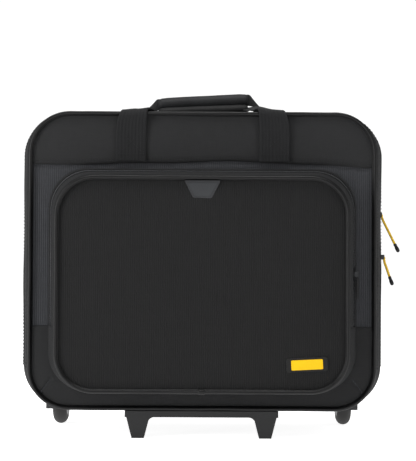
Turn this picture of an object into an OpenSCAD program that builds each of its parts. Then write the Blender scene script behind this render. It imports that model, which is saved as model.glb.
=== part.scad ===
// Rolling laptop case: a soft-sided case on two wheels and a front stand,
// with a two-stage telescoping handle, two zipped compartments and a zipped front pocket.
// Millimetres. +Z is up, the front faces -Y, and Z = 0 is the floor.

/* [Case body] */
// Width of the fabric body at the front and back edges
body_w = 425; // [360:5:510]
// Height of the fabric body
body_h = 364; // [304:2:438]
// Depth from the front panel to the back panel
body_d = 164; // [144:2:200]
// Radius of the body's four corners
corner_r = 50; // [42:1:60]
// How far the side walls swell past the front and back edges
side_bulge = 15; // [6:0.5:18]
// Thickness of the padded side, top and bottom walls
wall_t = 4; // [3:0.5:6]
// Thickness of the front and back panels
panel_t = 5; // [4:0.5:8]
// Height of the body's bottom above the floor
ground_gap = 35; // [32:1:46]
// Radius of the piping cord on the body and pocket edges
piping_r = 2.5; // [2:0.1:3.2]

/* [Compartments] */
// Depth of the rear compartment, from the back panel to the rear zip
rear_depth = 72; // [66:1:84]
// Depth of the middle compartment, between the two zips
middle_depth = 52; // [44:1:56]
// Half the width of a zip, from its middle to its sewn edge
zip_half = 6; // [5:0.5:8]
// Thickness of a zip tape with its teeth
zip_t = 2; // [1.5:0.1:3]
// Thickness of the padded divider between the compartments
divider_t = 4; // [3:0.5:8]
// Width of the laptop sleeve
sleeve_w = 376; // [300:2:380]
// Height of the laptop sleeve
sleeve_h = 250; // [220:2:290]
// Clear depth inside the laptop sleeve
sleeve_gap = 26; // [18:1:28]

/* [Front pocket] */
// Width of the pocket's face
pocket_w = 357; // [300:1:370]
// Height of the pocket's face
pocket_h = 263; // [220:1:270]
// Radius of the pocket's corners
pocket_r = 48; // [38:1:56]
// How far the pocket stands out from the front panel
pocket_d = 33; // [28:1:40]
// How much wider the pocket's base is than its face, on each side
pocket_flare = 10; // [4:0.5:12]
// Height of the pocket's bottom edge above the body's bottom
pocket_lift = 22; // [16:1:24]
// Thickness of the pocket's fabric walls
pocket_wall = 3; // [2:0.5:4]
// Height of the pocket's lower part, up to the ends of its zip
pocket_pan_h = 80; // [66:1:96]
// Distance of the pocket's zip from the front panel
pocket_zip_y = 12; // [11:0.5:14]

/* [Labels] */
// Width of the name tag plate
tag_w = 38; // [30:1:46]
// Height of the name tag plate
tag_h = 12; // [9:0.5:15]
// Thickness of the tag's base and plate together
tag_t = 3; // [2:0.5:4]
// Width of the blank patch at the pocket's top edge
patch_w = 44; // [34:1:54]

/* [Carry handles] */
// Width of the handle webbing
web_w = 37; // [30:1:40]
// Thickness of the handle webbing
web_t = 2; // [1.5:0.1:3]
// Distance of each webbing strap from the middle of the case
web_x = 88; // [86:1:104]
// Length of the sewn part of each strap, down from the top edge
web_drop = 60; // [50:1:72]
// Length of the padded grip
carry_grip_w = 116; // [98:1:130]
// Thickness of the padded grip
carry_grip_t = 20; // [16:1:24]

/* [Telescoping handle] */
// Distance of each tube from the middle of the case
tube_x = 46; // [42:1:48]
// Width of the fixed outer tube
tube_w = 26; // [24:0.5:28]
// Depth of the fixed outer tube
tube_d = 15; // [14.5:0.5:17]
// Wall of the tubes
tube_wall = 1.2; // [1:0.1:1.3]
// Gap between one tube and the next, on each side
tube_gap = 0.6; // [0.4:0.1:0.7]
// Overlap that stays between two tubes when pulled out
tube_overlap = 62; // [50:1:80]
// Height of the grip's body
grip_h = 24; // [20:1:26]
// Depth of the recess that the grip sinks into
cup_depth = 40; // [38:1:46]
// Travel of the push button
button_travel = 4; // [3:0.5:5]

/* [Wheels and stand] */
// Radius of the wheels
wheel_r = 33; // [27.5:0.5:39.6]
// Width of the wheels
wheel_w = 18; // [15:0.5:21]
// How far the wheels stand out behind the back panel
wheel_over = 16; // [13:0.5:19]
// Distance of each wheel's middle from the body's side edge
wheel_inset = 25; // [22:0.5:30]
// Radius of the axle
axle_r = 4; // [3:0.5:5]
// Distance of each stand leg from the middle of the case
leg_x = 78; // [70:1:94]
// Depth of the stand legs, front to back
leg_d = 26; // [20:1:32]

/* [Hidden] */
$fn = 48;

// Clearances and small shared sizes
eps = 0.01;
seam_gap = 0.5;
zip_gap = 0.25;
zip_inset = 1;
pocket_inset = 0.5;
cup_seat = 0.3;
screw_r = 2;
screw_head_r = 4;
screw_head_h = 1.8;

// Places along Y, with the middle of the whole case at Y = 0
total_d = wheel_over + body_d + pocket_d + tag_t;
y_back = total_d / 2 - wheel_over;
y_front = y_back - body_d;
y_mid = (y_back + y_front) / 2;
y_rear_zip = y_back - rear_depth;
y_front_zip = y_rear_zip - middle_depth;
y_pocket = y_front - pocket_d;
y_pocket_zip = y_front - pocket_zip_y;

// Heights
z_top = ground_gap + body_h;
z_body = ground_gap + body_h / 2;
z_pan = ground_gap + corner_r;
z_pocket_low = ground_gap + pocket_lift;
z_pocket = z_pocket_low + pocket_h / 2;
z_pocket_pan = z_pocket_low + pocket_pan_h;

// Telescoping handle
middle_w = tube_w - 2 * tube_wall - 2 * tube_gap;
middle_d = tube_d - 2 * tube_wall - 2 * tube_gap;
inner_w = middle_w - 2 * tube_wall - 2 * tube_gap;
inner_d = middle_d - 2 * tube_wall - 2 * tube_gap;
bore_w = inner_w - 2 * tube_wall;
bore_d = inner_d - 2 * tube_wall;
collar_h = 8;
collar_wall = 2;
cup_floor_t = 3;
cup_wall = 2;
cup_gap = 1.5;
z_cup_floor = z_top - cup_depth;
bracket_t = 4;
z_tube_base = ground_gap + wall_t + bracket_t;
z_outer_top = z_cup_floor;
z_middle_collar = z_outer_top + collar_h + 0.3;
z_grip = z_middle_collar + collar_h + 0.3;
grip_w = 2 * tube_x + tube_w + 4;
grip_d = tube_d + 8;
grip_split = 0.55;
grip_arch = 7;
cup_w = grip_w + 4 * cup_gap + 2 * cup_wall;
cup_d = grip_d + 2 * cup_gap + 2 * cup_wall;
tube_y = y_back - panel_t - cup_d / 2 - seam_gap;
button_w = 40;
button_d = 11;
button_proud = 1.5;
button_skirt = 4.5;
bar_t = 2.2;
rod_r = 1.2;
pin_r = 2;
z_pin = z_tube_base + 22;

// Wheels and stand
wheel_x = body_w / 2 - wheel_inset;
wheel_y = y_back + wheel_over - wheel_r;
hub_r = 0.66 * wheel_r;
bearing_r = axle_r + 7;
bearing_w = 5;
slot_gap = 2.5;
fork_t = 4.5;
housing_x0 = wheel_x - wheel_w / 2 - slot_gap - fork_t;
housing_x1 = wheel_x + wheel_w / 2 + slot_gap + fork_t;
housing_y0 = wheel_y - wheel_r - 5;
housing_y1 = y_back + 6;
housing_top = z_pan - 2;
housing_low = wheel_r - axle_r - 6;
plate_t = 5;
plate_w = 2 * leg_x + 32;
plate_d = 50;
stand_screw_x = leg_x - 30;
// The plate's front stays under the front panel, below the piping's lowest point.
stand_y0 = y_front - 3;

// Zip ends, above which each zip opens
z_slider_rear = ground_gap + 0.667 * body_h;
z_slider_front = ground_gap + 0.516 * body_h;
z_slider_pocket = z_pocket_low + 0.55 * pocket_h;
pull_len = 46;
slider_len = 17;
z_zip_rear = z_slider_rear - slider_len / 2 - 1;
z_zip_front = z_slider_front - slider_len / 2 - 1;

// Sliders and the stiff cord pulls of the two body zips; each route starts at its slider's bar
slider_w = 8;
slider_gap = 0.3;
slider_plate_t = 1.5;
bar_out = 4.8;
eye_r = 1.1;
tab_len = 30;
cord_r = 1.6;
rear_route = [[1, 0, -3], [3, 0, -8], [6, 0, -14], [9, 0, -20], [12, 0, -26], [15, 0, -32], [18, 0, -38],
  [20, 0, -42], [22, 0, -46]];
front_route = [[1, 0, -3], [2, 0, -8], [4, 0, -13], [6, 0, -19], [8, 0, -25], [11, 0, -33]];

// Carry handles
loop_z = z_top + piping_r;
front_grip_r = carry_grip_t / 4;
front_loop_y = y_front + 2;
rear_loop_y = tube_y - cup_d / 2 - 5;
rear_grip_y = y_mid - 2;
front_grip_y = rear_grip_y - carry_grip_t / 2 - front_grip_r - 2;
front_grip_z = loop_z + 0.5 + front_grip_r;
rear_grip_z = loop_z + 7.5 + carry_grip_t / 2;

function swell(y) = side_bulge * (1 - pow((y - y_mid) / (body_d / 2), 2));
function pocket_grow(y) = pocket_flare * (y - y_pocket) / pocket_d;
function pocket_side(y) = pocket_w / 2 + pocket_grow(y);
// How far the side wall turns away from straight at y, in degrees
function swell_lean(y) = atan(-2 * side_bulge * (y - y_mid) / pow(body_d / 2, 2));
rear_slider_x = body_w / 2 + swell(y_rear_zip) - zip_inset;
front_slider_x = body_w / 2 + swell(y_front_zip) - zip_inset;
pocket_slider_x = pocket_side(y_pocket_zip) - pocket_inset;
pocket_lean = atan(pocket_flare / pocket_d);

// ---- shared shapes ----

// Rounded rectangle with true arcs, centred
module rounded(w, h, r) {
  square([w - 2 * r, h], center = true);
  square([w, h - 2 * r], center = true);
  for (sx = [-1, 1], sy = [-1, 1])
    translate([sx * (w / 2 - r), sy * (h / 2 - r)]) circle(r);
}

// Stands a flat shape up in the XZ plane and gives it depth from y0 to y1
module across(y0, y1)
  translate([0, y1, 0]) rotate([90, 0, 0]) linear_extrude(y1 - y0) children();

module body_outline(inset = 0, grow = 0)
  translate([0, z_body])
    rounded(body_w + 2 * grow - 2 * inset, body_h - 2 * inset, corner_r - inset);

// The body's swollen form between the places in ys
module body_block(ys, inset = 0)
  hull()
    for (y = ys) across(max(y - eps, ys[0]), max(y, ys[0] + eps)) body_outline(inset, swell(y));

module pocket_outline(y, inset = 0)
  translate([0, z_pocket + pocket_grow(y) / 2])
    rounded(pocket_w + 2 * pocket_grow(y) - 2 * inset, pocket_h + pocket_grow(y) - 2 * inset, pocket_r - inset);

module pocket_block(y0, y1, inset = 0)
  hull()
    for (y = [y0, y1]) across(max(y - eps, y0), max(y, y0 + eps)) pocket_outline(y, inset);

module below(z) translate([-500, -500, z - 1000]) cube([1000, 1000, 1000]);
module above(z) translate([-500, -500, z]) cube([1000, 1000, 1000]);
module mirrored() { children(); mirror([1, 0, 0]) children(); }

// Arch of padded wall over the sides and top, from y0 to y1
module gusset_arch(y0, y1)
  difference() {
    body_block([y0, y1]);
    body_block([y0 - 1, y1 + 1], wall_t);
    below(z_pan + seam_gap);
  }

// Arch just under the surface of the side and top walls, open below z0
module thin_arch(y0, y1, z0)
  difference() {
    body_block([y0, y1], zip_inset);
    body_block([y0 - 1, y1 + 1], zip_inset + zip_t);
    below(z0);
  }

// Folded fabric that joins two side walls below the ends of the zip between them
module bellows(y_zip, z1)
  difference() {
    thin_arch(y_zip - zip_half + eps, y_zip + zip_half - eps, z_pan + seam_gap);
    above(z1 - seam_gap);
  }

// Piping cord round a rounded rectangle that stands in the XZ plane
module piping(w, h, r, y, z)
  translate([0, y, z]) rotate([90, 0, 0]) {
    for (sx = [-1, 1])
      translate([sx * w / 2, -(h / 2 - r), 0]) rotate([-90, 0, 0]) cylinder(h = h - 2 * r, r = piping_r);
    for (sy = [-1, 1])
      translate([-(w / 2 - r), sy * h / 2, 0]) rotate([0, 90, 0]) cylinder(h = w - 2 * r, r = piping_r);
    for (turn = [0 : 3])
      translate([(turn == 0 || turn == 3 ? 1 : -1) * (w / 2 - r), (turn < 2 ? 1 : -1) * (h / 2 - r), 0])
        rotate(turn * 90) rotate_extrude(angle = 90) translate([r, 0]) circle(piping_r);
  }

// Straight tube or bar with rounded corners, standing at one side of the case
module tube_bar(w, d, r, z0, z1)
  translate([tube_x, tube_y, z0]) linear_extrude(z1 - z0) rounded(w, d, r);

module screw_hole() translate([0, 0, -1]) cylinder(h = 40, r = screw_r + 0.2);
module screw_up(len) {
  translate([0, 0, -screw_head_h]) cylinder(h = screw_head_h, r = screw_head_r);
  cylinder(h = len, r = screw_r);
}

// ---- fabric body ----

module rear_gusset() color("#232426")
  difference() {
    gusset_arch(y_rear_zip + zip_half, y_back - panel_t);
    translate([-cup_w / 2 - cup_seat, tube_y - cup_d / 2 - cup_seat, z_cup_floor - cup_floor_t - 1])
      cube([cup_w + 2 * cup_seat, cup_d + 10, cup_depth + 20]);
  }

module back_panel() color("#232426")
  difference() {
    across(y_back - panel_t, y_back) body_outline();
    mirrored() housing_clearance();
  }

module bottom_pan() color("#1c1d1f")
  difference() {
    body_block([y_front + panel_t + seam_gap, y_front_zip, y_rear_zip, y_back - panel_t]);
    body_block([y_front, y_front_zip, y_rear_zip, y_back], wall_t);
    above(z_pan);
    mirrored() housing_clearance();
    stand_screw_places() screw_hole();
    bracket_screw_places() translate([0, 0, -wall_t]) screw_hole();
  }

module back_piping() color("#17181a")
  difference() {
    piping(body_w - 2, body_h - 2, corner_r - 1, y_back + piping_r, z_body);
    mirrored() housing_clearance();
  }

board_t = 2.5;
module base_board() color("#3a3a3a")
  difference() {
    translate([-body_w / 2 + corner_r, y_front + panel_t + 8, ground_gap + wall_t])
      cube([body_w - 2 * corner_r, tube_y - cup_d / 2 - y_front - panel_t - 12, board_t]);
    stand_screw_places() screw_hole();
  }

lining_y1 = tube_y - tube_d / 2 - 4.5;
module trolley_lining() color("#4a4b4e")
  across(lining_y1 - 2, lining_y1)
    intersection() {
      body_outline(wall_t + 1, swell(lining_y1));
      translate([-body_w / 2, z_pan]) square([body_w, z_cup_floor - cup_floor_t - 1 - z_pan]);
    }

module zip_back(y_zip, z0) color("#101113") thin_arch(y_zip + zip_gap, y_zip + zip_half, z0);
module zip_front(y_zip, z0) color("#101113") thin_arch(y_zip - zip_half, y_zip - zip_gap, z0);
module rear_bellows() color("#232426") bellows(y_rear_zip, z_zip_rear);
module front_bellows() color("#232426") bellows(y_front_zip, z_zip_front);

module middle_gusset() color("#232426")
  gusset_arch(y_front_zip + zip_half, y_rear_zip - zip_half);

divider_y = y_front_zip + zip_half + divider_t;
module divider_panel() color("#4a4b4e")
  across(divider_y - divider_t, divider_y)
    difference() {
      body_outline(wall_t + 0.3, swell(divider_y) - 0.6);
      translate([-body_w / 2 - 20, 0]) square([body_w + 40, ground_gap + wall_t + 4]);
      // The lower corners stay clear of the bottom pan while the shell leans forward.
      mirrored() translate([body_w / 2 - corner_r, 0]) square([corner_r + 20, z_pan + seam_gap]);
    }

// Padded sleeve on the divider's front, open at the top
module laptop_sleeve() color("#55565a")
  difference() {
    translate([0, 0, ground_gap + wall_t + 10])
      across(y_front_zip + zip_half - sleeve_gap - 4, y_front_zip + zip_half)
        translate([-sleeve_w / 2, 0]) square([sleeve_w, sleeve_h]);
    translate([-sleeve_w / 2 + 4, y_front_zip + zip_half - sleeve_gap, ground_gap + wall_t + 14])
      cube([sleeve_w - 8, sleeve_gap + 1, sleeve_h]);
    // Lower corners cut away where the body's corners curve in
    mirrored() translate([body_w / 2 - corner_r, y_front, 0]) cube([corner_r + 20, body_d, z_pan + 4]);
  }

module front_panel() color("#1b1c1e")
  across(y_front, y_front + panel_t) body_outline();

module front_gusset() color("#232426")
  gusset_arch(y_front + panel_t, y_front_zip - zip_half);

module front_piping() color("#17181a")
  piping(body_w - 2, body_h - 2, corner_r - 1, y_front - piping_r, z_body);

// ---- front pocket ----

module pocket_base() color("#1b1c1e")
  difference() {
    pocket_block(y_pocket + pocket_wall + seam_gap, y_front);
    pocket_block(y_pocket, y_front + 2, pocket_wall);
    // Room for the cover's half of the gusset above the lower corners
    translate([-300, y_pocket - 10, z_pocket_pan])
      cube([600, y_pocket_zip + zip_half - y_pocket + 10, 500]);
  }

module pocket_zip(y0, y1)
  difference() {
    pocket_block(y0, y1, pocket_inset);
    pocket_block(y0 - 1, y1 + 1, pocket_inset + zip_t);
    below(z_pocket_pan + seam_gap);
  }
module pocket_zip_back() color("#101113")
  pocket_zip(y_pocket_zip + zip_gap, y_pocket_zip + zip_half);
module pocket_zip_front() color("#101113")
  pocket_zip(y_pocket_zip - zip_half, y_pocket_zip - zip_gap);

module pocket_cover() color("#191a1b") {
  across(y_pocket, y_pocket + pocket_wall) pocket_outline(y_pocket);
  difference() {
    pocket_block(y_pocket + pocket_wall, y_pocket_zip - zip_half);
    pocket_block(y_pocket, y_pocket_zip, pocket_wall);
    below(z_pocket_pan + seam_gap);
  }
}

module pocket_piping() color("#17181a")
  piping(pocket_w - 2 * piping_r, pocket_h - 2 * piping_r, pocket_r - piping_r, y_pocket - piping_r, z_pocket);

patch_t = 1.2;
patch_h = patch_w / 2;
module pocket_patch() color("#4b4d50")
  across(y_pocket - patch_t, y_pocket)
    translate([0, z_pocket + pocket_h / 2 - 2 * piping_r - 1])
      polygon([[-patch_w / 2, 0], [patch_w / 2, 0], [patch_w / 4, -patch_h], [-patch_w / 4, -patch_h]]);

tag_x = pocket_w / 2 - 52;
tag_z = z_pocket_low + 36;
tag_tilt = 3;
tag_rim_x = 6;
tag_rim_z = 2.5;
module tag_at(y0, y1)
  translate([tag_x, 0, tag_z]) rotate([0, -tag_tilt, 0]) across(y0, y1) children();
module tag_base() color("#0d0d0e")
  tag_at(y_pocket - tag_t / 2, y_pocket) rounded(tag_w + 2 * tag_rim_x, tag_h + 2 * tag_rim_z, 3);
module tag_plate() color("#f6c913")
  tag_at(y_pocket - tag_t, y_pocket - tag_t / 2) rounded(tag_w, tag_h, 1);

// ---- carry handles ----

module strap_sewn(y0, y1)
  mirrored()
    translate([web_x, 0, z_top - web_drop])
      across(y0, y1) translate([-web_w / 2, 0]) square([web_w, web_drop - 6]);
module front_straps() color("#1a1b1d") strap_sewn(y_front - web_t, y_front);
// The rear straps also run along the top, beside the handle's cup
module rear_straps() color("#1a1b1d") {
  strap_sewn(y_back, y_back + web_t);
  mirrored() translate([web_x - web_w / 2, rear_loop_y, z_top]) cube([web_w, y_back - 1 - rear_loop_y, web_t]);
}

// Webbing leg from the case's top edge to the grip; it narrows where it folds
module loop_leg(edge_y, grip_y, grip_z)
  hull() {
    translate([web_x - web_w / 2, edge_y - 1, loop_z + 1]) cube([web_w, 2, web_t]);
    translate([carry_grip_w / 2 - 8, grip_y - 1, grip_z - web_t / 2]) cube([12, 2, web_t]);
  }
module grip_bar(grip_y, grip_z, r, len)
  translate([-len / 2, grip_y, grip_z]) rotate([0, 90, 0]) cylinder(h = len, r = r);

module front_loop_webbing() color("#1a1b1d")
  difference() {
    mirrored() loop_leg(front_loop_y, front_grip_y, front_grip_z);
    grip_bar(front_grip_y, front_grip_z, front_grip_r + 0.05, carry_grip_w - 8);
  }
module front_loop_grip() color("#141516")
  grip_bar(front_grip_y, front_grip_z, front_grip_r, carry_grip_w - 8);
module rear_loop_webbing() color("#1a1b1d")
  difference() {
    mirrored() loop_leg(rear_loop_y, rear_grip_y, rear_grip_z);
    grip_bar(rear_grip_y, rear_grip_z, carry_grip_t / 2 + 0.05, carry_grip_w);
  }
module rear_loop_grip() color("#26272a")
  grip_bar(rear_grip_y, rear_grip_z, carry_grip_t / 2, carry_grip_w);

// ---- telescoping handle ----

// Moulded cup round the folded handle, with a guide collar on each outer tube
rim_t = 1.5;
module handle_cup() color("#161719")
  difference() {
    union() {
      translate([0, tube_y, z_cup_floor - cup_floor_t])
        linear_extrude(cup_depth + cup_floor_t) rounded(cup_w, cup_d, 8);
      translate([0, tube_y, z_top]) linear_extrude(rim_t) rounded(cup_w + 6, cup_d + 4, 10);
    }
    difference() {
      translate([0, tube_y, z_cup_floor])
        linear_extrude(cup_depth + 10) rounded(cup_w - 2 * cup_wall, cup_d - 2 * cup_wall, 6);
      mirrored() tube_bar(tube_w + 2, tube_d + 2, 5, z_outer_top - 1, z_outer_top + collar_h);
    }
    mirrored() tube_bar(tube_w + 0.1, tube_d + 0.1, 4, z_cup_floor - 10, z_outer_top);
    mirrored() tube_bar(middle_w + 0.4, middle_d + 0.4, 3, z_outer_top - 1, z_outer_top + collar_h + 1);
  }

module hollow_tube(w, d, r, z0, z1)
  difference() {
    tube_bar(w, d, r, z0, z1);
    tube_bar(w - 2 * tube_wall, d - 2 * tube_wall, r - tube_wall, z0 - 1, z1 + 1);
  }

// Round holes through a tube's outer side, which the lock pin snaps into
module pin_holes(zs)
  for (z = zs)
    translate([tube_x, tube_y, z]) rotate([0, 90, 0]) cylinder(h = tube_w, r = pin_r + 0.4);

module outer_tubes() color("#b9bcc0")
  mirrored() difference() {
    hollow_tube(tube_w, tube_d, 4, z_tube_base, z_outer_top);
    pin_holes([z_pin]);
  }
module tube_bracket() color("#202124")
  difference() {
    union() {
      translate([0, tube_y, z_tube_base - bracket_t])
        linear_extrude(bracket_t) rounded(2 * tube_x + tube_w + 24, tube_d + 8, 4);
      mirrored() tube_bar(tube_w + 6, tube_d + 6, 5, z_tube_base - 2, z_tube_base + 14);
    }
    mirrored() tube_bar(tube_w + 0.1, tube_d + 0.1, 4, z_tube_base, z_tube_base + 20);
    bracket_screw_places() translate([0, 0, -10]) cylinder(h = 30, r = screw_r + 0.2);
  }
module bracket_screw_places()
  mirrored() translate([tube_x + tube_w / 2 + 8, tube_y, z_tube_base - bracket_t]) children();

middle_z0 = z_tube_base + 2;
inner_z0 = z_tube_base + 4;
inner_travel = z_middle_collar - tube_overlap - inner_z0;
module middle_tubes() color("#c6c9cc")
  mirrored() difference() {
    hollow_tube(middle_w, middle_d, 3, middle_z0, z_middle_collar);
    pin_holes([z_pin, z_pin + inner_travel]);
  }
module middle_collars() color("#1d1e20")
  mirrored() difference() {
    tube_bar(middle_w + 2 * collar_wall, middle_d + 2 * collar_wall, 4, z_middle_collar, z_middle_collar + collar_h);
    tube_bar(inner_w + 0.4, inner_d + 0.4, 2, z_middle_collar - 1, z_middle_collar + collar_h + 1);
  }
module inner_tubes() color("#d0d3d6")
  mirrored() difference() {
    hollow_tube(inner_w, inner_d, 2.2, inner_z0, z_grip + 8);
    translate([tube_x, tube_y, z_pin]) rotate([0, 90, 0]) cylinder(h = tube_w, r = pin_r + 0.1);
  }

z_grip_split = z_grip + grip_h * grip_split;
z_grip_top = z_grip + grip_h;
z_cavity = z_grip + grip_arch + 2;
module grip_shape(inset)
  translate([0, tube_y, z_grip + inset])
    linear_extrude(grip_h - 2 * inset) rounded(grip_w - 2 * inset, grip_d - 2 * inset, grip_d / 2 - inset - 0.5);
module grip_cavity()
  intersection() {
    grip_shape(2.5);
    translate([-tube_x - rod_r - 2.5, tube_y - button_d / 2 - 0.6, z_cavity])
      cube([2 * (tube_x + rod_r + 2.5), button_d + 1.2, 40]);
  }
// Lower half of the grip, with sockets for the tubes and an arch for the fingers
module grip_base() color("#121314")
  difference() {
    grip_shape(0);
    above(z_grip_split);
    grip_cavity();
    mirrored() tube_bar(inner_w + 0.1, inner_d + 0.1, 2.2, z_grip - 1, z_grip + 8);
    mirrored() translate([tube_x, tube_y, z_grip]) cylinder(h = 40, r = rod_r + 0.5);
    translate([-(tube_x - tube_w / 2 - 3), tube_y - 40, z_grip - 1])
      cube([2 * (tube_x - tube_w / 2 - 3), 80, grip_arch + 1]);
  }
module grip_cover() color("#121314")
  difference() {
    grip_shape(0);
    below(z_grip_split);
    grip_cavity();
    translate([-button_w / 2 - 0.4, tube_y - button_d / 2 - 0.4, z_grip])
      cube([button_w + 0.8, button_d + 0.8, 60]);
  }

z_button = z_grip_top - button_skirt;
module push_button() color("#2c2e31") {
  difference() {
    translate([0, tube_y, z_button]) linear_extrude(button_skirt + button_proud)
      rounded(button_w, button_d, 4);
    translate([0, tube_y, z_button - 1]) cylinder(h = 3, r = 4);
  }
}
// Crossbar under the button, with a rod down each inner tube and a wedge at its end
wedge_lean = 0.55;
wedge_h = 4;
wedge_tip_x = 1;
wedge_z0 = z_pin + pin_r + button_travel + 0.4;
module push_rods() color("#8d9094") {
  difference() {
    translate([-tube_x - rod_r - 1, tube_y - 2, z_button - bar_t])
      cube([2 * (tube_x + rod_r + 1), 4, bar_t]);
    translate([0, tube_y, z_grip]) cylinder(h = 40, r = 1.5);
  }
  mirrored()
    translate([tube_x, tube_y, wedge_z0 + 14]) cylinder(h = z_button - bar_t / 2 - wedge_z0 - 14, r = rod_r);
  mirrored()
    translate([tube_x, tube_y + rod_r, wedge_z0])
      rotate([90, 0, 0]) linear_extrude(2 * rod_r)
        polygon([[-rod_r, 15], [rod_r, 15], [rod_r, 0], [wedge_tip_x, 0],
          [wedge_tip_x - wedge_h * wedge_lean, wedge_h]]);
}

// Coil spring as a wire swept along a helix
spring_r = 3;
wire_r = 0.45;
spring_turns = 4;
spring_steps = 12;
module button_spring() color("#c9ccd0") {
  z0 = z_cavity + wire_r + 0.1;
  z1 = z_button - bar_t - wire_r - 0.1;
  rings = spring_turns * spring_steps;
  sides = 6;
  points = [for (i = [0 : rings], k = [0 : sides - 1])
    let (turn = 360 * i / spring_steps, side = 360 * k / sides, r = spring_r + wire_r * cos(side))
      [r * cos(turn), r * sin(turn), z0 + (z1 - z0) * i / rings + wire_r * sin(side)]];
  walls = [for (i = [0 : rings - 1], k = [0 : sides - 1])
    [i * sides + k, (i + 1) * sides + k, (i + 1) * sides + (k + 1) % sides, i * sides + (k + 1) % sides]];
  ends = [[for (k = [0 : sides - 1]) k], [for (k = [sides - 1 : -1 : 0]) rings * sides + k]];
  translate([0, tube_y, 0]) polyhedron(points, concat(walls, ends));
}

// Lock pin with a tongue that the rod's wedge pushes inwards
module lock_pin() color("#9a9da1")
  translate([tube_x, tube_y, z_pin]) {
    rotate([0, 90, 0]) translate([0, 0, wedge_tip_x - 0.1])
      cylinder(h = inner_w / 2 + 0.3 - wedge_tip_x + 0.1, r = pin_r);
    translate([-1.5, -1.6, -pin_r]) cube([1.5 + wedge_tip_x - 0.1, 3.2, wedge_z0 - z_pin - 0.2 + pin_r]);
  }

// ---- wheels and stand ----

module along_x(x0, x1) translate([x0, 0, 0]) rotate([90, 0, 90]) linear_extrude(x1 - x0) children();

// Space that the wheel housing fills, cut out of the fabric around it
module housing_clearance()
  translate([housing_x0 - 0.4, housing_y0 - 0.4, -1])
    cube([body_w, housing_y1 - housing_y0 + 40, housing_top + 1.4]);

module wheel_housing()
  difference() {
    across(housing_y0, housing_y1) {
      intersection() {
        body_outline(-1, swell(wheel_y) * 0.5);
        translate([housing_x0, 0]) square([body_w, housing_top]);
      }
      translate([housing_x0, housing_low]) square([housing_x1 - housing_x0, housing_top - housing_low - 20]);
    }
    translate([0, wheel_y, wheel_r])
      along_x(wheel_x - wheel_w / 2 - slot_gap, wheel_x + wheel_w / 2 + slot_gap) {
        circle(wheel_r + 3);
        translate([-wheel_r - 3, -2 * wheel_r]) square([2 * wheel_r + 6, 2 * wheel_r]);
      }
    translate([0, wheel_y, wheel_r]) along_x(0, body_w) circle(axle_r + 0.05);
  }

// The axle's head bears on the housing's outer side.
axle_head_t = 2.5;
module wheel_axles() color("#b4b7bb")
  mirrored() {
    translate([0, wheel_y, wheel_r]) along_x(housing_x0 + 0.2, housing_x1 + 1) circle(axle_r);
    translate([0, wheel_y, wheel_r]) along_x(housing_x1, housing_x1 + axle_head_t) circle(axle_r + 2.5);
  }

tread_r = wheel_w / 2 + 0.5;
module tyre() color("#1a1a1b")
  translate([wheel_x, wheel_y, wheel_r]) rotate([0, 90, 0])
    rotate_extrude() {
      translate([hub_r, -wheel_w / 2]) square([wheel_r - tread_r - hub_r + 1, wheel_w]);
      intersection() {
        translate([hub_r, -wheel_w / 2]) square([wheel_r - hub_r + 1, wheel_w]);
        translate([wheel_r - tread_r, 0]) circle(tread_r);
      }
    }

// Nylon hub with a bearing ring pressed into each side
module hub() color("#3a3c3f")
  translate([wheel_x, wheel_y, wheel_r]) rotate([0, 90, 0]) {
    difference() {
      translate([0, 0, -wheel_w / 2]) cylinder(h = wheel_w, r = hub_r);
      translate([0, 0, -wheel_w / 2 - 1]) cylinder(h = wheel_w + 2, r = bearing_r);
    }
    for (z = [-wheel_w / 2, wheel_w / 2 - bearing_w])
      translate([0, 0, z]) difference() {
        cylinder(h = bearing_w, r = bearing_r - 0.02);
        translate([0, 0, -1]) cylinder(h = bearing_w + 2, r = axle_r + 0.05);
      }
  }

// Moulded stand: a plate under the case, with two tapered legs and a filleted front bar
leg_top = 14;
leg_foot = 7.5;
leg_fillet = 8;
bar_drop = 7.5;
z_bar = ground_gap - 2 - bar_drop;
leg_slant = atan((leg_top - leg_foot) / z_bar);

// Tapered leg, with a fillet between its inner edge and the bar's underside
fillet_steps = 8;
module leg_profile() {
  reach = leg_fillet * (1 - sin(leg_slant)) / cos(leg_slant);
  middle = [-leg_top - reach, z_bar - leg_fillet];
  arc = [for (i = [0 : fillet_steps]) let (a = 90 - (90 - leg_slant) * i / fillet_steps)
    middle + leg_fillet * [cos(a), sin(a)]];
  polygon(concat([[-leg_top - reach, z_bar + 1]], arc,
    [[-leg_foot, 0], [leg_foot, 0], [leg_top, z_bar], [leg_top, z_bar + 1]]));
}

module front_stand() color("#2b2c2e")
  difference() {
    union() {
      across(stand_y0, stand_y0 + plate_d) {
        translate([-plate_w / 2, z_bar]) square([plate_w, bar_drop]);
        mirrored() translate([leg_x, 0]) leg_profile();
      }
      translate([-plate_w / 2, y_front + panel_t + 2, ground_gap - plate_t])
        cube([plate_w, plate_d - panel_t - 5, plate_t]);
    }
    translate([-plate_w / 2 - 10, stand_y0 + leg_d, -1]) cube([plate_w + 20, plate_d, ground_gap - plate_t - 1]);
    stand_screw_places() translate([0, 0, -plate_t - 2]) {
      screw_hole();
      translate([0, 0, -20]) cylinder(h = 20 + screw_head_h, r = screw_head_r + 0.3);
    }
  }

screw_front = 21;
screw_back = 38;
module stand_screw_places()
  for (x = [-1, 1], y = [screw_front, screw_back])
    translate([x * stand_screw_x, stand_y0 + y, ground_gap]) children();

module case_screws() color("#9b9ea2") {
  stand_screw_places() translate([0, 0, -plate_t - 2 + screw_head_h])
    screw_up(plate_t + 2 - screw_head_h + wall_t + board_t);
  bracket_screw_places() translate([0, 0, bracket_t]) rotate([180, 0, 0]) screw_up(bracket_t + wall_t - 1);
}

// ---- zip sliders and pulls ----

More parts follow.
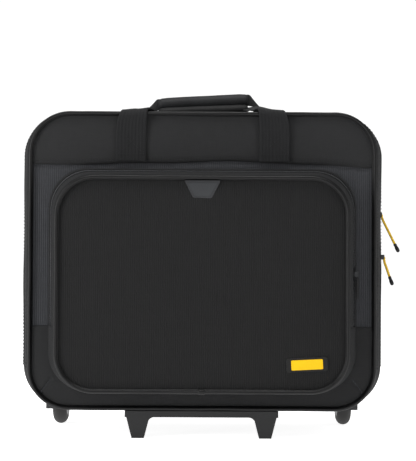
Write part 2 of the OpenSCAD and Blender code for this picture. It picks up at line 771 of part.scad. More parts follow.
// Slider on the right-hand wall: a plate over the teeth, and a bar that the pull hangs from
module slider(x, y, z, lean) color("#3c3e42")
  translate([x, y, z]) {
    rotate([0, 0, -lean])
      translate([slider_gap, -slider_w / 2, -slider_len / 2]) cube([slider_plate_t, slider_w, slider_len]);
    for (side = [-1, 1])
      translate([slider_gap + 0.8, side * 2.6 - 0.7, -3]) cube([bar_out + eye_r - slider_gap - 0.8, 1.4, 6]);
    translate([bar_out, -3.2, 0]) rotate([-90, 0, 0]) cylinder(h = 6.4, r = eye_r);
  }

// Moulded pull: an eye round the slider's bar and a flat tab
module pull(x, y, z) color("#1b1c1e")
  translate([x + bar_out, y, z]) {
    rotate([-90, 0, 0]) translate([0, 0, -1.6]) difference() {
      cylinder(h = 3.2, r = eye_r + 1.2);
      translate([0, 0, -1]) cylinder(h = 6, r = eye_r + 0.2);
    }
    translate([-1.2, -1.6, -5]) cube([2.4, 3.2, 3.6]);
    translate([-1.2, -3, -tab_len]) cube([2.4, 6, tab_len - 5]);
  }

// Stiff cord with eight sides along the points of a route
cord_sides = 8;
function ring(at, along, r) =
  let (side = [0, 1, 0], up = cross(along / norm(along), side))
  [for (k = [0 : cord_sides - 1]) let (a = 360 * k / cord_sides) at + r * (cos(a) * side + sin(a) * up)];
function heading(route, i) = route[min(i + 1, len(route) - 1)] - route[max(i - 1, 0)];
module cord(route, r) {
  last = len(route) - 1;
  points = [for (i = [0 : last]) each ring(route[i], heading(route, i), r)];
  walls = [for (i = [0 : last - 1], k = [0 : cord_sides - 1]) let (n = (k + 1) % cord_sides)
    [i * cord_sides + n, i * cord_sides + k, (i + 1) * cord_sides + k, (i + 1) * cord_sides + n]];
  ends = [[for (k = [0 : cord_sides - 1]) k], [for (k = [cord_sides - 1 : -1 : 0]) last * cord_sides + k]];
  polyhedron(points, concat(walls, ends));
}

module hung_cord(x, y, z, route) color("#f2c417") translate([x + bar_out, y, z]) cord(route, cord_r);

module lock_pin_side(side) if (side > 0) lock_pin(); else mirror([1, 0, 0]) lock_pin();
module housing_side(side) color("#1f2022") if (side > 0) wheel_housing(); else mirror([1, 0, 0]) wheel_housing();

rear_gusset();
back_panel();
bottom_pan();
back_piping();
base_board();
trolley_lining();
handle_cup();
outer_tubes();
tube_bracket();
housing_side(-1);  // wheel_housing_left
housing_side(1);  // wheel_housing_right
wheel_axles();
front_stand();
case_screws();
zip_back(y_rear_zip, z_zip_rear);  // rear_zip_back
rear_straps();
middle_gusset();
divider_panel();
laptop_sleeve();
zip_front(y_rear_zip, z_zip_rear);  // rear_zip_front
zip_back(y_front_zip, z_zip_front);  // front_zip_back
front_panel();
front_gusset();
front_piping();
zip_front(y_front_zip, z_zip_front);  // front_zip_front
rear_bellows();
front_bellows();
front_straps();
pocket_base();
pocket_zip_back();
pocket_cover();
pocket_piping();
pocket_zip_front();
pocket_patch();
tag_base();
tag_plate();
front_loop_webbing();
front_loop_grip();
rear_loop_webbing();
rear_loop_grip();
middle_tubes();
middle_collars();
inner_tubes();
grip_base();
grip_cover();
push_button();
push_rods();
button_spring();
lock_pin_side(-1);  // lock_pin_left
lock_pin_side(1);  // lock_pin_right
mirror([1, 0, 0]) tyre();  // wheel_tyre_left
mirror([1, 0, 0]) hub();  // wheel_hub_left
tyre();  // wheel_tyre_right
hub();  // wheel_hub_right
slider(rear_slider_x, y_rear_zip, z_slider_rear, swell_lean(y_rear_zip));  // rear_slider
hung_cord(rear_slider_x, y_rear_zip, z_slider_rear, rear_route);  // rear_pull
slider(front_slider_x, y_front_zip, z_slider_front, swell_lean(y_front_zip));  // front_slider
hung_cord(front_slider_x, y_front_zip, z_slider_front, front_route);  // front_pull
slider(pocket_slider_x, y_pocket_zip, z_slider_pocket, pocket_lean);  // pocket_slider
pull(pocket_slider_x, y_pocket_zip, z_slider_pocket);  // pocket_pull
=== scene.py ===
import math

import bmesh
import bpy
from mathutils import Matrix, Vector, noise
from mathutils.bvhtree import BVHTree


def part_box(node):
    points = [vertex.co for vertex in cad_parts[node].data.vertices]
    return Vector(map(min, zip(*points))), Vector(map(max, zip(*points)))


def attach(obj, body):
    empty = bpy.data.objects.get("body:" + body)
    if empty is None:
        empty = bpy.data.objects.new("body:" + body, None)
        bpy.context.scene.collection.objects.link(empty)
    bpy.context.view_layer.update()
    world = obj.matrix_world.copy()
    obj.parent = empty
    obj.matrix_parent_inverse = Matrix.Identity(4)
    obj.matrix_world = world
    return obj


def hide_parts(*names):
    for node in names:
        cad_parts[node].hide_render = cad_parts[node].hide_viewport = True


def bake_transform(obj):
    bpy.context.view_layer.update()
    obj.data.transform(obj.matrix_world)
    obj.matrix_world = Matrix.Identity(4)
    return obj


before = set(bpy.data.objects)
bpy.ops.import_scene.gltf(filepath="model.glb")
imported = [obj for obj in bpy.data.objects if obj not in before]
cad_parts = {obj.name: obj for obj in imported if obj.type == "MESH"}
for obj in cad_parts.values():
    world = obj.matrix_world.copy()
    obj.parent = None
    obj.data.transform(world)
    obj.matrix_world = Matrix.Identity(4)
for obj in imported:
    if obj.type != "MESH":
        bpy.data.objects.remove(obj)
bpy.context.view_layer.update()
scene = bpy.context.scene

# ---- Studio ----
# A plain white table: a wide floor, an even white surround, and three soft boxes.
# The camera stands level with the middle of the case, looking very slightly up.
scene.view_settings.view_transform = "Standard"
camera = bpy.data.objects.new("studio_camera", bpy.data.cameras.new("studio_camera"))
scene.collection.objects.link(camera)
camera.data.sensor_fit = "AUTO"
camera.data.sensor_width = 36.0
camera.data.lens = 104.9
camera.data.clip_end = 100.0
camera.location = (0.007, -1.722, 0.218)
camera.rotation_euler = (math.radians(91.26), math.radians(-0.3), 0.0)
scene.camera = camera

world = bpy.data.worlds.new("studio_surround")
world.use_nodes = True
surround = world.node_tree.nodes["Background"]
surround.inputs["Color"].default_value = (1.0, 1.0, 1.0, 1.0)
seen = world.node_tree.nodes.new("ShaderNodeLightPath")
strength = world.node_tree.nodes.new("ShaderNodeMapRange")
strength.inputs["To Min"].default_value = 0.27
strength.inputs["To Max"].default_value = 1.05
world.node_tree.links.new(seen.outputs["Is Camera Ray"], strength.inputs["Value"])
world.node_tree.links.new(strength.outputs["Result"], surround.inputs["Strength"])
scene.world = world


def soft_box(name, place, aim, size, power):
    data = bpy.data.lights.new(name, "AREA")
    data.shape = "RECTANGLE"
    data.size, data.size_y = size
    data.energy = power
    lamp = bpy.data.objects.new(name, data)
    lamp.location = place
    lamp.rotation_euler = (Vector(aim) - Vector(place)).to_track_quat("-Z", "Y").to_euler()
    scene.collection.objects.link(lamp)


soft_box("left_box", (-1.4, -0.9, 0.7), (0.0, 0.0, 0.25), (0.5, 1.2), 20.0)
soft_box("right_box", (1.4, -0.9, 0.6), (0.0, 0.0, 0.25), (0.5, 1.2), 4.0)
soft_box("top_box", (0.0, -0.35, 1.7), (0.0, 0.0, 0.3), (1.4, 0.7), 22.0)


def finish_nodes(name):
    """A new material with its node tree and its main shader."""
    mat = bpy.data.materials.new(name)
    mat.use_nodes = True
    return mat, mat.node_tree.nodes, mat.node_tree.links, mat.node_tree.nodes["Principled BSDF"]


floor_finish, _, _, shader = finish_nodes("studio_floor")
shader.inputs["Base Color"].default_value = (0.95, 0.95, 0.95, 1.0)
shader.inputs["Roughness"].default_value = 1.0
shader.inputs["Specular IOR Level"].default_value = 0.0
shader.inputs["Emission Color"].default_value = (1.0, 1.0, 1.0, 1.0)
shader.inputs["Emission Strength"].default_value = 0.9
floor_shape = bmesh.new()
bmesh.ops.create_grid(floor_shape, x_segments=4, y_segments=4, size=20.0)
floor_mesh = bpy.data.meshes.new("studio_floor")
floor_shape.to_mesh(floor_mesh)
floor_shape.free()
floor = bpy.data.objects.new("studio_floor", floor_mesh)
floor.data.materials.append(floor_finish)
scene.collection.objects.link(floor)

# ---- Cord pulls of the two body zips ----
# Stiff yellow cords, 3.2 mm thick, tied to each slider's bar and heat-sealed into a black rubber tip.
# Each keeps the set it left the mould with, so it stands out and down from the case's right side.
MM = 0.001
cord_r = 1.6 * MM
bar_out = 4.4 * MM
rear_route = ((1, 0, -3), (3, 0, -8), (6, 0, -14), (9, 0, -20), (12, 0, -26), (15, 0, -32), (18, 0, -38),
              (20, 0, -42), (22, 0, -46))
front_route = ((1, 0, -3), (2, 0, -8), (4, 0, -13), (6, 0, -19), (8, 0, -25), (11, 0, -33))


def lay_texture(kind, scale, vector, **extra):
    """A texture node read at vector. This and the next few find the material's tree from their socket."""
    tex = vector.id_data.nodes.new(kind)
    tex.inputs["Scale"].default_value = scale
    for key, value in extra.items():
        if key in tex.inputs:
            tex.inputs[key].default_value = value
        else:
            setattr(tex, key, value)
    vector.id_data.links.new(vector, tex.inputs["Vector"])
    return tex


def turned(vector, angles=(0, 0, 0), scale=(1, 1, 1)):
    mapping = vector.id_data.nodes.new("ShaderNodeMapping")
    mapping.inputs["Rotation"].default_value = [math.radians(a) for a in angles]
    mapping.inputs["Scale"].default_value = scale
    vector.id_data.links.new(vector, mapping.inputs["Vector"])
    return mapping.outputs["Vector"]


def mixed(kind, a, b):
    """One Math node. a is a socket; b is a socket or a number."""
    calc = a.id_data.nodes.new("ShaderNodeMath")
    calc.operation = kind
    a.id_data.links.new(a, calc.inputs[0])
    if isinstance(b, (int, float)):
        calc.inputs[1].default_value = b
    else:
        a.id_data.links.new(b, calc.inputs[1])
    return calc.outputs[0]


def ranged(value, low, high):
    spread = value.id_data.nodes.new("ShaderNodeMapRange")
    spread.inputs["To Min"].default_value = low
    spread.inputs["To Max"].default_value = high
    value.id_data.links.new(value, spread.inputs["Value"])
    return spread.outputs["Result"]


def tinted(factor, low, high):
    ramp = factor.id_data.nodes.new("ShaderNodeValToRGB")
    ramp.color_ramp.elements[0].color = (*low, 1.0)
    ramp.color_ramp.elements[1].color = (*high, 1.0)
    factor.id_data.links.new(factor, ramp.inputs["Fac"])
    return ramp.outputs["Color"]


def raised(height, depth, shader, strength):
    bump = height.id_data.nodes.new("ShaderNodeBump")
    bump.inputs["Strength"].default_value = strength
    bump.inputs["Distance"].default_value = depth
    height.id_data.links.new(height, bump.inputs["Height"])
    height.id_data.links.new(bump.outputs["Normal"], shader.inputs["Normal"])


WAVE_TURN = 0.31416  # a band's width in metres, times this over it, is the Wave texture's scale


def cord_finish():
    mat, nodes, links, shader = finish_nodes("yellow_cord")
    place = nodes.new("ShaderNodeTexCoord").outputs["Object"]
    strand = WAVE_TURN / 0.0016
    lay = lay_texture("ShaderNodeTexWave", strand, turned(place, (0, 38, 0)),
                      wave_type="BANDS", bands_direction="X")
    back = lay_texture("ShaderNodeTexWave", strand, turned(place, (0, -38, 0)),
                       wave_type="BANDS", bands_direction="Z")
    braid = mixed("MULTIPLY", lay.outputs["Fac"], back.outputs["Fac"])
    soil = lay_texture("ShaderNodeTexNoise", 180.0, place, Detail=4.0)
    tone = mixed("MULTIPLY", ranged(braid, 0.55, 1.0), soil.outputs["Fac"])
    tone = mixed("MULTIPLY", tone, 2.0)
    links.new(tinted(tone, (0.35, 0.2, 0.002), (0.8, 0.5, 0.005)), shader.inputs["Base Color"])
    links.new(ranged(soil.outputs["Fac"], 0.45, 0.7), shader.inputs["Roughness"])
    raised(braid, 0.0003, shader, 0.8)
    return mat


def rubber_finish(name, dark, light, grain, rough):
    mat, nodes, links, shader = finish_nodes(name)
    place = nodes.new("ShaderNodeTexCoord").outputs["Object"]
    fine = lay_texture("ShaderNodeTexNoise", grain, place, Detail=6.0, Roughness=0.6)
    wide = lay_texture("ShaderNodeTexNoise", 35.0, place, Detail=3.0)
    tone = mixed("ADD", mixed("MULTIPLY", fine.outputs["Fac"], 0.5),
                 mixed("MULTIPLY", wide.outputs["Fac"], 0.5))
    links.new(tinted(tone, dark, light), shader.inputs["Base Color"])
    links.new(ranged(tone, rough - 0.1, rough + 0.12), shader.inputs["Roughness"])
    shader.inputs["Specular IOR Level"].default_value = 0.22
    raised(fine.outputs["Fac"], 0.0002, shader, 0.5)
    return mat


yellow_cord = cord_finish()
pull_rubber = rubber_finish("pull_rubber", (0.006, 0.006, 0.007), (0.016, 0.016, 0.017), 900.0, 0.5)


def new_object(name, mesh, finish, smooth=True):
    piece = bpy.data.objects.new(name, mesh)
    piece.data.materials.append(finish)
    scene.collection.objects.link(piece)
    if smooth and piece.type == "MESH":
        for face in mesh.polygons:
            face.use_smooth = True
    return piece


def from_shape(name, shape, finish, smooth=True):
    """Makes an object of a finished bmesh."""
    mesh = bpy.data.meshes.new(name)
    shape.to_mesh(mesh)
    shape.free()
    return new_object(name, mesh, finish, smooth)


def close_up(shape, near):
    """Joins edges that meet, caps open ends, and points the faces outwards."""
    bmesh.ops.remove_doubles(shape, verts=shape.verts, dist=near)
    bmesh.ops.holes_fill(shape, edges=[e for e in shape.edges if e.is_boundary])
    bmesh.ops.recalc_face_normals(shape, faces=shape.faces)


def hung_pull(zip_name, route):
    low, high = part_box(zip_name + "_slider")
    bar = Vector((high[0] - 1.1 * MM, (low[1] + high[1]) / 2, (low[2] + high[2]) / 2))
    points = [bar + MM * Vector(p) for p in route]
    line = bpy.data.curves.new(zip_name + "_cord", "CURVE")
    line.dimensions = "3D"
    line.bevel_depth = cord_r
    line.bevel_resolution = 4
    line.use_fill_caps = True
    spline = line.splines.new("POLY")
    spline.points.add(len(points) - 1)
    for spot, point in zip(spline.points, points):
        spot.co = (*point, 1.0)
    rope = new_object(zip_name + "_cord", line, yellow_cord)

    # Moulded tip: a tapered sleeve over the cord's last stretch, with two grip rings and a rounded end
    way = (points[-1] - points[-2]).normalized()
    start = points[-1] - way * 9 * MM
    profile = ((-0.4, 1.7), (0.4, 2.1), (2.0, 2.2), (2.6, 1.8), (3.4, 2.3), (4.0, 1.9), (4.8, 2.4),
               (8.0, 2.5), (10.0, 2.3), (11.2, 1.4), (11.6, 0.02))
    shape = bmesh.new()
    edge = [shape.verts.new((r * MM, 0.0, -z * MM)) for z, r in profile]
    for a, b in zip(edge, edge[1:]):
        shape.edges.new((a, b))
    bmesh.ops.spin(shape, geom=shape.verts[:] + shape.edges[:], cent=(0, 0, 0), axis=(0, 0, 1),
                   angle=math.tau, steps=20, use_merge=True)
    close_up(shape, 0.00003)
    turn = Vector((0, 0, -1)).rotation_difference(way).to_matrix().to_4x4()
    bmesh.ops.transform(shape, matrix=Matrix.Translation(start) @ turn, verts=shape.verts)
    tip = from_shape(zip_name + "_cord_tip", shape, pull_rubber)

    # Knot: the cord's turn round the slider's bar
    shape = bmesh.new()
    bmesh.ops.create_uvsphere(shape, u_segments=20, v_segments=14, radius=1.0)
    bmesh.ops.transform(shape, matrix=Matrix.Translation(bar + MM * Vector((0.6, 0, -1.4)))
                        @ Matrix.Diagonal((2.1 * MM, 2.3 * MM, 2.6 * MM, 1.0)), verts=shape.verts)
    knot = from_shape(zip_name + "_cord_knot", shape, yellow_cord)
    for piece in (rope, tip, knot):
        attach(piece, zip_name + "_zip_pull")
    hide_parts(zip_name + "_pull")


hung_pull("rear", rear_route)
hung_pull("front", front_route)

# ---- Bottom pan and back of the case ----
# The lowest part of the case: a tray of black 1680-denier polyester over foam, sewn to the back panel.
# It wraps up the sides to the lower corners' height, and is cut out at the back for the wheel housings.
panel_low, panel_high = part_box("front_panel")
back_low, back_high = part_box("back_panel")
half_w = panel_high[0]
z_low, z_top = panel_low[2], panel_high[2]
y_front, y_back = panel_low[1], back_high[1]
y_mid = (y_front + y_back) / 2
corner_r = 50 * MM
z_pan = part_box("bottom_pan")[1][2]
housing_low, housing_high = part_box("wheel_housing_right")
side_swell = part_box("middle_gusset")[1][0] - half_w


def swell(y):
    """How far the side walls stand out at y; they are straight at the front and back edges."""
    return side_swell * max(0.0, 1 - ((y - y_mid) / ((y_back - y_front) / 2)) ** 2)


def arch(u, half, top, r, low):
    """A place along an arch, up the left side, over the top and down the right.

    Gives x, z, the outward way's x and z, and the length so far.
    """
    side, turn, across = top - r - low, math.pi * r / 2, 2 * (half - r)
    s = u * (2 * side + 2 * turn + across)
    if s <= side:
        return -half, low + s, -1.0, 0.0, s
    if s <= side + turn:
        a = (s - side) / r
        return -half + r - r * math.cos(a), top - r + r * math.sin(a), -math.cos(a), math.sin(a), s
    if s <= side + turn + across:
        return -half + r + s - side - turn, top, 0.0, 1.0, s
    if s <= side + 2 * turn + across:
        a = (s - side - turn - across) / r
        return half - r + r * math.sin(a), top - r + r * math.cos(a), math.sin(a), math.cos(a), s
    return half, top - r - (s - side - 2 * turn - across), 1.0, 0.0, s


def woven_sheet(along, across, place, flip=False):
    """A grid laid where place(u, v) says, with its cloth's own lengths as its UV map."""
    shape = bmesh.new()
    bmesh.ops.create_grid(shape, x_segments=along, y_segments=across, size=1.0)
    cloth = shape.loops.layers.uv.new("cloth")
    lengths = {}
    for v in shape.verts:
        spot, lengths[v] = place((v.co.x + 1) / 2, (v.co.y + 1) / 2)
        v.co = spot
    for face in shape.faces:
        for loop in face.loops:
            loop[cloth].uv = lengths[loop.vert]
    if flip:
        bmesh.ops.reverse_faces(shape, faces=shape.faces)
    return shape


def thicken(piece, depth, offset=-1.0):
    solid = piece.modifiers.new("thickness", "SOLIDIFY")
    solid.thickness = depth
    solid.offset = offset


def cloth_finish(name, gap, thread, pitch, coords="UV", rib=0.0, rib_depth=0.0, rough=(0.75, 0.95),
                 sheen=0.02):
    """Woven cloth: warp and weft threads, an optional rib up the cloth, uneven yarn and a little wear."""
    mat, nodes, links, shader = finish_nodes(name)
    place = nodes.new("ShaderNodeTexCoord").outputs[coords]
    turn = (90, 0, 0) if coords == "Object" else (0, 0, 0)
    flat = turned(place, turn)
    warp = lay_texture("ShaderNodeTexWave", WAVE_TURN / pitch, flat, bands_direction="X",
                       Distortion=0.6, **{"Detail Scale": 3.0})
    weft = lay_texture("ShaderNodeTexWave", WAVE_TURN / pitch, flat, bands_direction="Y",
                       Distortion=0.6, **{"Detail Scale": 3.0})
    weave = mixed("MULTIPLY", warp.outputs["Fac"], weft.outputs["Fac"])
    along = turned(flat, scale=(900, 60, 60))
    yarn = lay_texture("ShaderNodeTexNoise", 1.0, along, Detail=3.0)
    over = turned(flat, scale=(60, 700, 60))
    cross = lay_texture("ShaderNodeTexNoise", 1.0, over, Detail=3.0)
    wear = lay_texture("ShaderNodeTexNoise", 14.0, flat, Detail=5.0, Roughness=0.6)
    uneven = mixed("ADD", mixed("MULTIPLY", yarn.outputs["Fac"], 0.25),
                   mixed("MULTIPLY", cross.outputs["Fac"], 0.25))
    tone = mixed("ADD", mixed("MULTIPLY", weave, 0.35), uneven)
    tone = mixed("ADD", tone, ranged(wear.outputs["Fac"], -0.12, 0.2))
    height = mixed("ADD", weave, mixed("MULTIPLY", yarn.outputs["Fac"], 0.6))
    if rib:
        ridge = lay_texture("ShaderNodeTexWave", WAVE_TURN / rib, flat, bands_direction="X",
                            Distortion=0.25, **{"Detail Scale": 0.4})
        ridge = ridge.outputs["Fac"]
        tone = mixed("ADD", tone, ranged(ridge, -rib_depth, rib_depth))
        height = mixed("ADD", height, mixed("MULTIPLY", ridge, 2.0))
    links.new(tinted(tone, gap, thread), shader.inputs["Base Color"])
    links.new(ranged(wear.outputs["Fac"], *rough), shader.inputs["Roughness"])
    shader.inputs["Sheen Weight"].default_value = sheen
    shader.inputs["Sheen Roughness"].default_value = 0.45
    shader.inputs["Specular IOR Level"].default_value = 0.22
    raised(height, 0.00022, shader, 0.7)
    return mat


body_cloth = cloth_finish("body_cloth", (0.003, 0.003, 0.003), (0.026, 0.0265, 0.028), 0.0009)
# A darker copy of the body's cloth: its colour paints the shade on the side walls, the bottom pan, the
# bellows and the pocket's walls.
side_cloth_painted_shade = cloth_finish("side_cloth_painted_shade", (0.002, 0.002, 0.002), (0.014, 0.0145, 0.016), 0.0009)
thread_black = rubber_finish("thread_black", (0.006, 0.006, 0.007), (0.02, 0.02, 0.022), 1500.0, 0.7)


def rumple(x, y, z, depth, scale=9.0):
    """Slow dents of hung cloth, the same on every run."""
    return depth * noise.noise(Vector((x * scale, y * scale, z * scale)))


def cut_away(shape, low, high):
    """Removes the cloth inside a box, along straight cut lines."""
    for axis, planes in enumerate(zip(low, high)):
        for at in planes:
            point, normal = Vector((0, 0, 0)), Vector((0, 0, 0))
            point[axis], normal[axis] = at, 1.0
            bmesh.ops.bisect_plane(shape, geom=shape.verts[:] + shape.edges[:] + shape.faces[:],
                                   plane_co=point, plane_no=normal, dist=0.00001)
    inside = [f for f in shape.faces if all(a < c < b for a, c, b in zip(low, f.calc_center_median(), high))]
    bmesh.ops.delete(shape, geom=inside, context="FACES")


def cut_for_housings(shape):
    for side in (-1, 1):
        xs = sorted((side * (housing_low[0] - 0.4 * MM), side * 0.3))
        cut_away(shape, (xs[0], housing_low[1] - 0.4 * MM, -1.0), (xs[1], 0.3, housing_high[2] + 0.4 * MM))


def stitch_row(shape, points, outward, pitch=3.6 * MM, size=0.42 * MM, dash=0.62):
    """Lock stitches along a line: one small rounded dash for each stitch, lying on the cloth."""
    spare = 0.0
    for a, b in zip(points, points[1:]):
        way = b - a
        length = way.length
        if length < 1e-7:
            continue
        way /= length
        out = Vector(outward(a)) if callable(outward) else Vector(outward)
        frame_turn = Matrix((way, out.cross(way).normalized(), out)).transposed().to_4x4()
        while spare < length:
            spot = a + way * spare + out * size * 0.2
            grain = Matrix.Diagonal((pitch * dash / 2, size, size * 0.8, 1.0))
            bmesh.ops.create_icosphere(shape, subdivisions=1, radius=1.0,
                                       matrix=Matrix.Translation(spot) @ frame_turn @ grain)
            spare += pitch
        spare -= length


def stitches(name, rows, body, slot_name="body_fabric", **sizes):
    """rows holds pairs of a line's points and the way the cloth faces there."""
    shape = bmesh.new()
    for points, outward in rows:
        stitch_row(shape, points, outward, **sizes)
    piece = from_shape(name, shape, thread_black)
    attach(piece, body)


def made_of(piece, body, slot_name, *nodes):
    """Fixes a piece to its body, and hides the plain solids it stands for."""
    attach(piece, body)
    if nodes:
        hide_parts(*nodes)


def pan_place(u, v):
    y = y_front + 5.5 * MM + v * (y_back - y_front - 10.5 * MM)
    half = half_w + swell(y)
    x, z, nx, nz, s = arch(u, half, 1 - z_low, corner_r, 1 - z_pan)
    z, nz = 1 - z, -nz
    dent = rumple(x, y, z, 1.2 * MM)
    return Vector((x + nx * dent, y, z + nz * dent)), (s, y)


pan_shape = woven_sheet(190, 40, pan_place, flip=True)
cut_for_housings(pan_shape)
pan = from_shape("bottom_pan_cloth", pan_shape, side_cloth_painted_shade)
thicken(pan, 3.6 * MM)
made_of(pan, "case_body", "body_fabric", "bottom_pan")

# ---- Back panel ----
# A flat padded panel of the same cloth, with two stitched seams across it and a crease at each tube.
# It is sewn into the back piping all round, and screwed down behind the wheel housings.


def round_panel(u, v, half, low, high, r):
    """A place, x and z, on a panel with round corners, whose rows run straight across."""
    side, turn = high - low - 2 * r, math.pi * r / 2
    s = v * (side + 2 * turn)
    if s < turn:
        a = s / r
        z, reach = low + r - r * math.cos(a), half - r + r * math.sin(a)
    elif s > side + turn:
        a = (s - side - turn) / r
        z, reach = high - r + r * math.sin(a), half - r + r * math.cos(a)
    else:
        z, reach = low + r + s - turn, half
    return (2 * u - 1) * reach, z


def edge_gap(x, z, half, low, high, r):
    """How far a place on the panel is from the panel's edge."""
    dx, dz = half - r - abs(x), (high - low) / 2 - r - abs(z - (high + low) / 2)
    if dx < 0 and dz < 0:
        return r - math.hypot(dx, dz)
    return r + min(dx, dz)


def groove(distance, depth, width=1.6 * MM):
    return depth * math.exp(-(distance / width) ** 2)


back_seams = (z_low + 105 * MM, z_low + 258 * MM)
tube_x = 46 * MM


def back_place(u, v):
    x, z = round_panel(u, v, half_w - 0.5 * MM, z_low + 0.5 * MM, z_top - 0.5 * MM, corner_r)
    gap = edge_gap(x, z, half_w, z_low, z_top, corner_r)
    puffed = 2.2 * MM * (1 - math.exp(-gap / (18 * MM)))
    sunk = sum(groove(z - seam, 1.3 * MM) for seam in back_seams)
    tube_mark = groove(abs(x) - tube_x, 0.8 * MM, 15 * MM)
    y = y_back - 1.8 * MM + puffed - sunk + tube_mark + rumple(x, 0.3, z, 1.0 * MM, 11.0)
    return Vector((x, y, z)), (x, z)


back_shape = woven_sheet(150, 130, back_place, flip=True)
cut_for_housings(back_shape)
back = from_shape("back_panel_cloth", back_shape, body_cloth)
thicken(back, 4.4 * MM)
made_of(back, "case_body", "body_fabric", "back_panel")
rows = []
for seam in back_seams:
    for z in (seam - 2.6 * MM, seam + 2.6 * MM):
        line = []
        for i in range(41):
            u = (i / 40 - 0.5) * 2
            dent = rumple(u * half_w, 0.3, z, 1.0 * MM, 11.0)
            line.append(Vector((u * (half_w - 6 * MM), y_back + 0.4 * MM + dent, z)))
        rows.append((line, (0, 1, 0)))
stitches("back_panel_stitches", rows, "case_body")

# ---- Piping ----
# A 5 mm welt cord in coated black cloth, sewn into the edge seam all round the front and the back.
# It meets end to end at the middle of the bottom edge.


def coated_finish(name, dark, light, rough, crease):
    mat, nodes, links, shader = finish_nodes(name)
    place = nodes.new("ShaderNodeTexCoord").outputs["UV"]
    creased = turned(place, scale=(crease, 40, 1))
    fold = lay_texture("ShaderNodeTexNoise", 1.0, creased, Detail=4.0)
    grain = lay_texture("ShaderNodeTexVoronoi", 900.0, place)
    tone = mixed("ADD", mixed("MULTIPLY", fold.outputs["Fac"], 0.7),
                 mixed("MULTIPLY", grain.outputs["Distance"], 0.5))
    links.new(tinted(tone, dark, light), shader.inputs["Base Color"])
    uneven = ranged(fold.outputs["Fac"], rough - 0.08, rough + 0.1)
    links.new(uneven, shader.inputs["Roughness"])
    shader.inputs["Specular IOR Level"].default_value = 0.25
    raised(tone, 0.00025, shader, 0.5)
    return mat


piping_cloth = coated_finish("piping_cloth", (0.0008, 0.0008, 0.0008), (0.003, 0.003, 0.0033), 0.4, 160.0)


piping_low, piping_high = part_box("front_piping")
piping_r = (piping_high[1] - piping_low[1]) / 2


def loop_place(s, half, low, high, r):
    """A place round a closed rounded rectangle, from the bottom's middle up the left side.

    Gives x, z, the outward way's x and z, and the loop's whole length.
    """
    flat, side, turn = half - r, high - low - 2 * r, math.pi * r / 2
    total = 4 * flat + 2 * side + 4 * turn
    s %= total
    parts = ((flat, None, (-1, 0)), (turn, (-half + r, low + r), 270), (side, None, (0, 1)),
             (turn, (-half + r, high - r), 180), (2 * flat, None, (1, 0)), (turn, (half - r, high - r), 90),
             (side, None, (0, -1)), (turn, (half - r, low + r), 0), (flat, None, (-1, 0)))
    x, z = 0.0, low
    for length, centre, way in parts:
        if centre is None:
            if s <= length:
                return x + way[0] * s, z + way[1] * s, -way[1], way[0], total
            x, z = x + way[0] * length, z + way[1] * length
        else:
            if s <= length:
                a = math.radians(way) - s / r
                nx, nz = math.cos(a), math.sin(a)
                return centre[0] + r * nx, centre[1] + r * nz, nx, nz, total
            a = math.radians(way) - math.pi / 2
            x, z = centre[0] + r * math.cos(a), centre[1] + r * math.sin(a)
        s -= length
    return x, z, 0.0, -1.0, total


def piping_loop(name, half, low, high, r, y, inward, body, cut, *nodes):
    """inward is the side, in y, that the lip runs to. cut leaves room for the wheel housings."""
    total, thick = loop_place(0.0, half, low, high, r)[4], piping_r

    def place(u, v):
        x, z, nx, nz, _ = loop_place(u * total, half, low, high, r)
        a = v * math.tau
        uneven = 0.05 * noise.noise(Vector((u * total * 90, a, 3.0)))
        local = thick * (1 + uneven) - 0.06 * thick * math.cos(a) ** 8
        out = local * math.cos(a) + 0.35 * MM * noise.noise(Vector((x * 22, z * 22, 9.0)))
        spot = Vector((x + nx * out, y + local * math.sin(a), z + nz * out))
        return spot, (u * total, v * math.tau * thick)

    shape = woven_sheet(420, 14, place)
    bmesh.ops.remove_doubles(shape, verts=shape.verts, dist=0.00001)
    if cut:
        cut_for_housings(shape)
        bmesh.ops.holes_fill(shape, edges=[e for e in shape.edges if e.is_boundary])
    bmesh.ops.recalc_face_normals(shape, faces=shape.faces)
    piece = from_shape(name, shape, piping_cloth)
    made_of(piece, body, "piping", *nodes)

    # The lip that the piping is sewn by, running from the cord into the seam
    def lip_place(u, v):
        x, z, nx, nz, _ = loop_place(u * total, half, low, high, r)
        reach = -v * 3.2 * MM
        deep = inward * (thick * 0.5 + 0.9 * MM * v)
        return Vector((x + nx * reach, y + deep, z + nz * reach)), (u * total, v * 3 * MM)

    shape = woven_sheet(420, 2, lip_place)
    bmesh.ops.remove_doubles(shape, verts=shape.verts, dist=0.00001)
    if cut:
        cut_for_housings(shape)
    lip = from_shape(name + "_lip", shape, piping_cloth)
    thicken(lip, 0.9 * MM, 0.0)
    made_of(lip, body, "piping")


front_cord_y = (piping_high[1] + piping_low[1]) / 2
back_cord_y = sum(c[1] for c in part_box("back_piping")) / 2
cord_half = piping_high[0] - piping_r
cord_low, cord_high = piping_low[2] + piping_r, piping_high[2] - piping_r
piping_loop("back_piping_cord", cord_half, cord_low, cord_high, corner_r - MM, back_cord_y, -1,
            "case_body", True, "back_piping")
piping_loop("front_piping_cord", cord_half, cord_low, cord_high, corner_r - MM, front_cord_y, 1,
            "front_shell", False, "front_piping")

# ---- Side and top walls ----
# Three padded walls in the same cloth, one for each compartment, each sewn to a half of a zip.
# They swell a little past the front and back edges, and the cloth ripples between the seams.


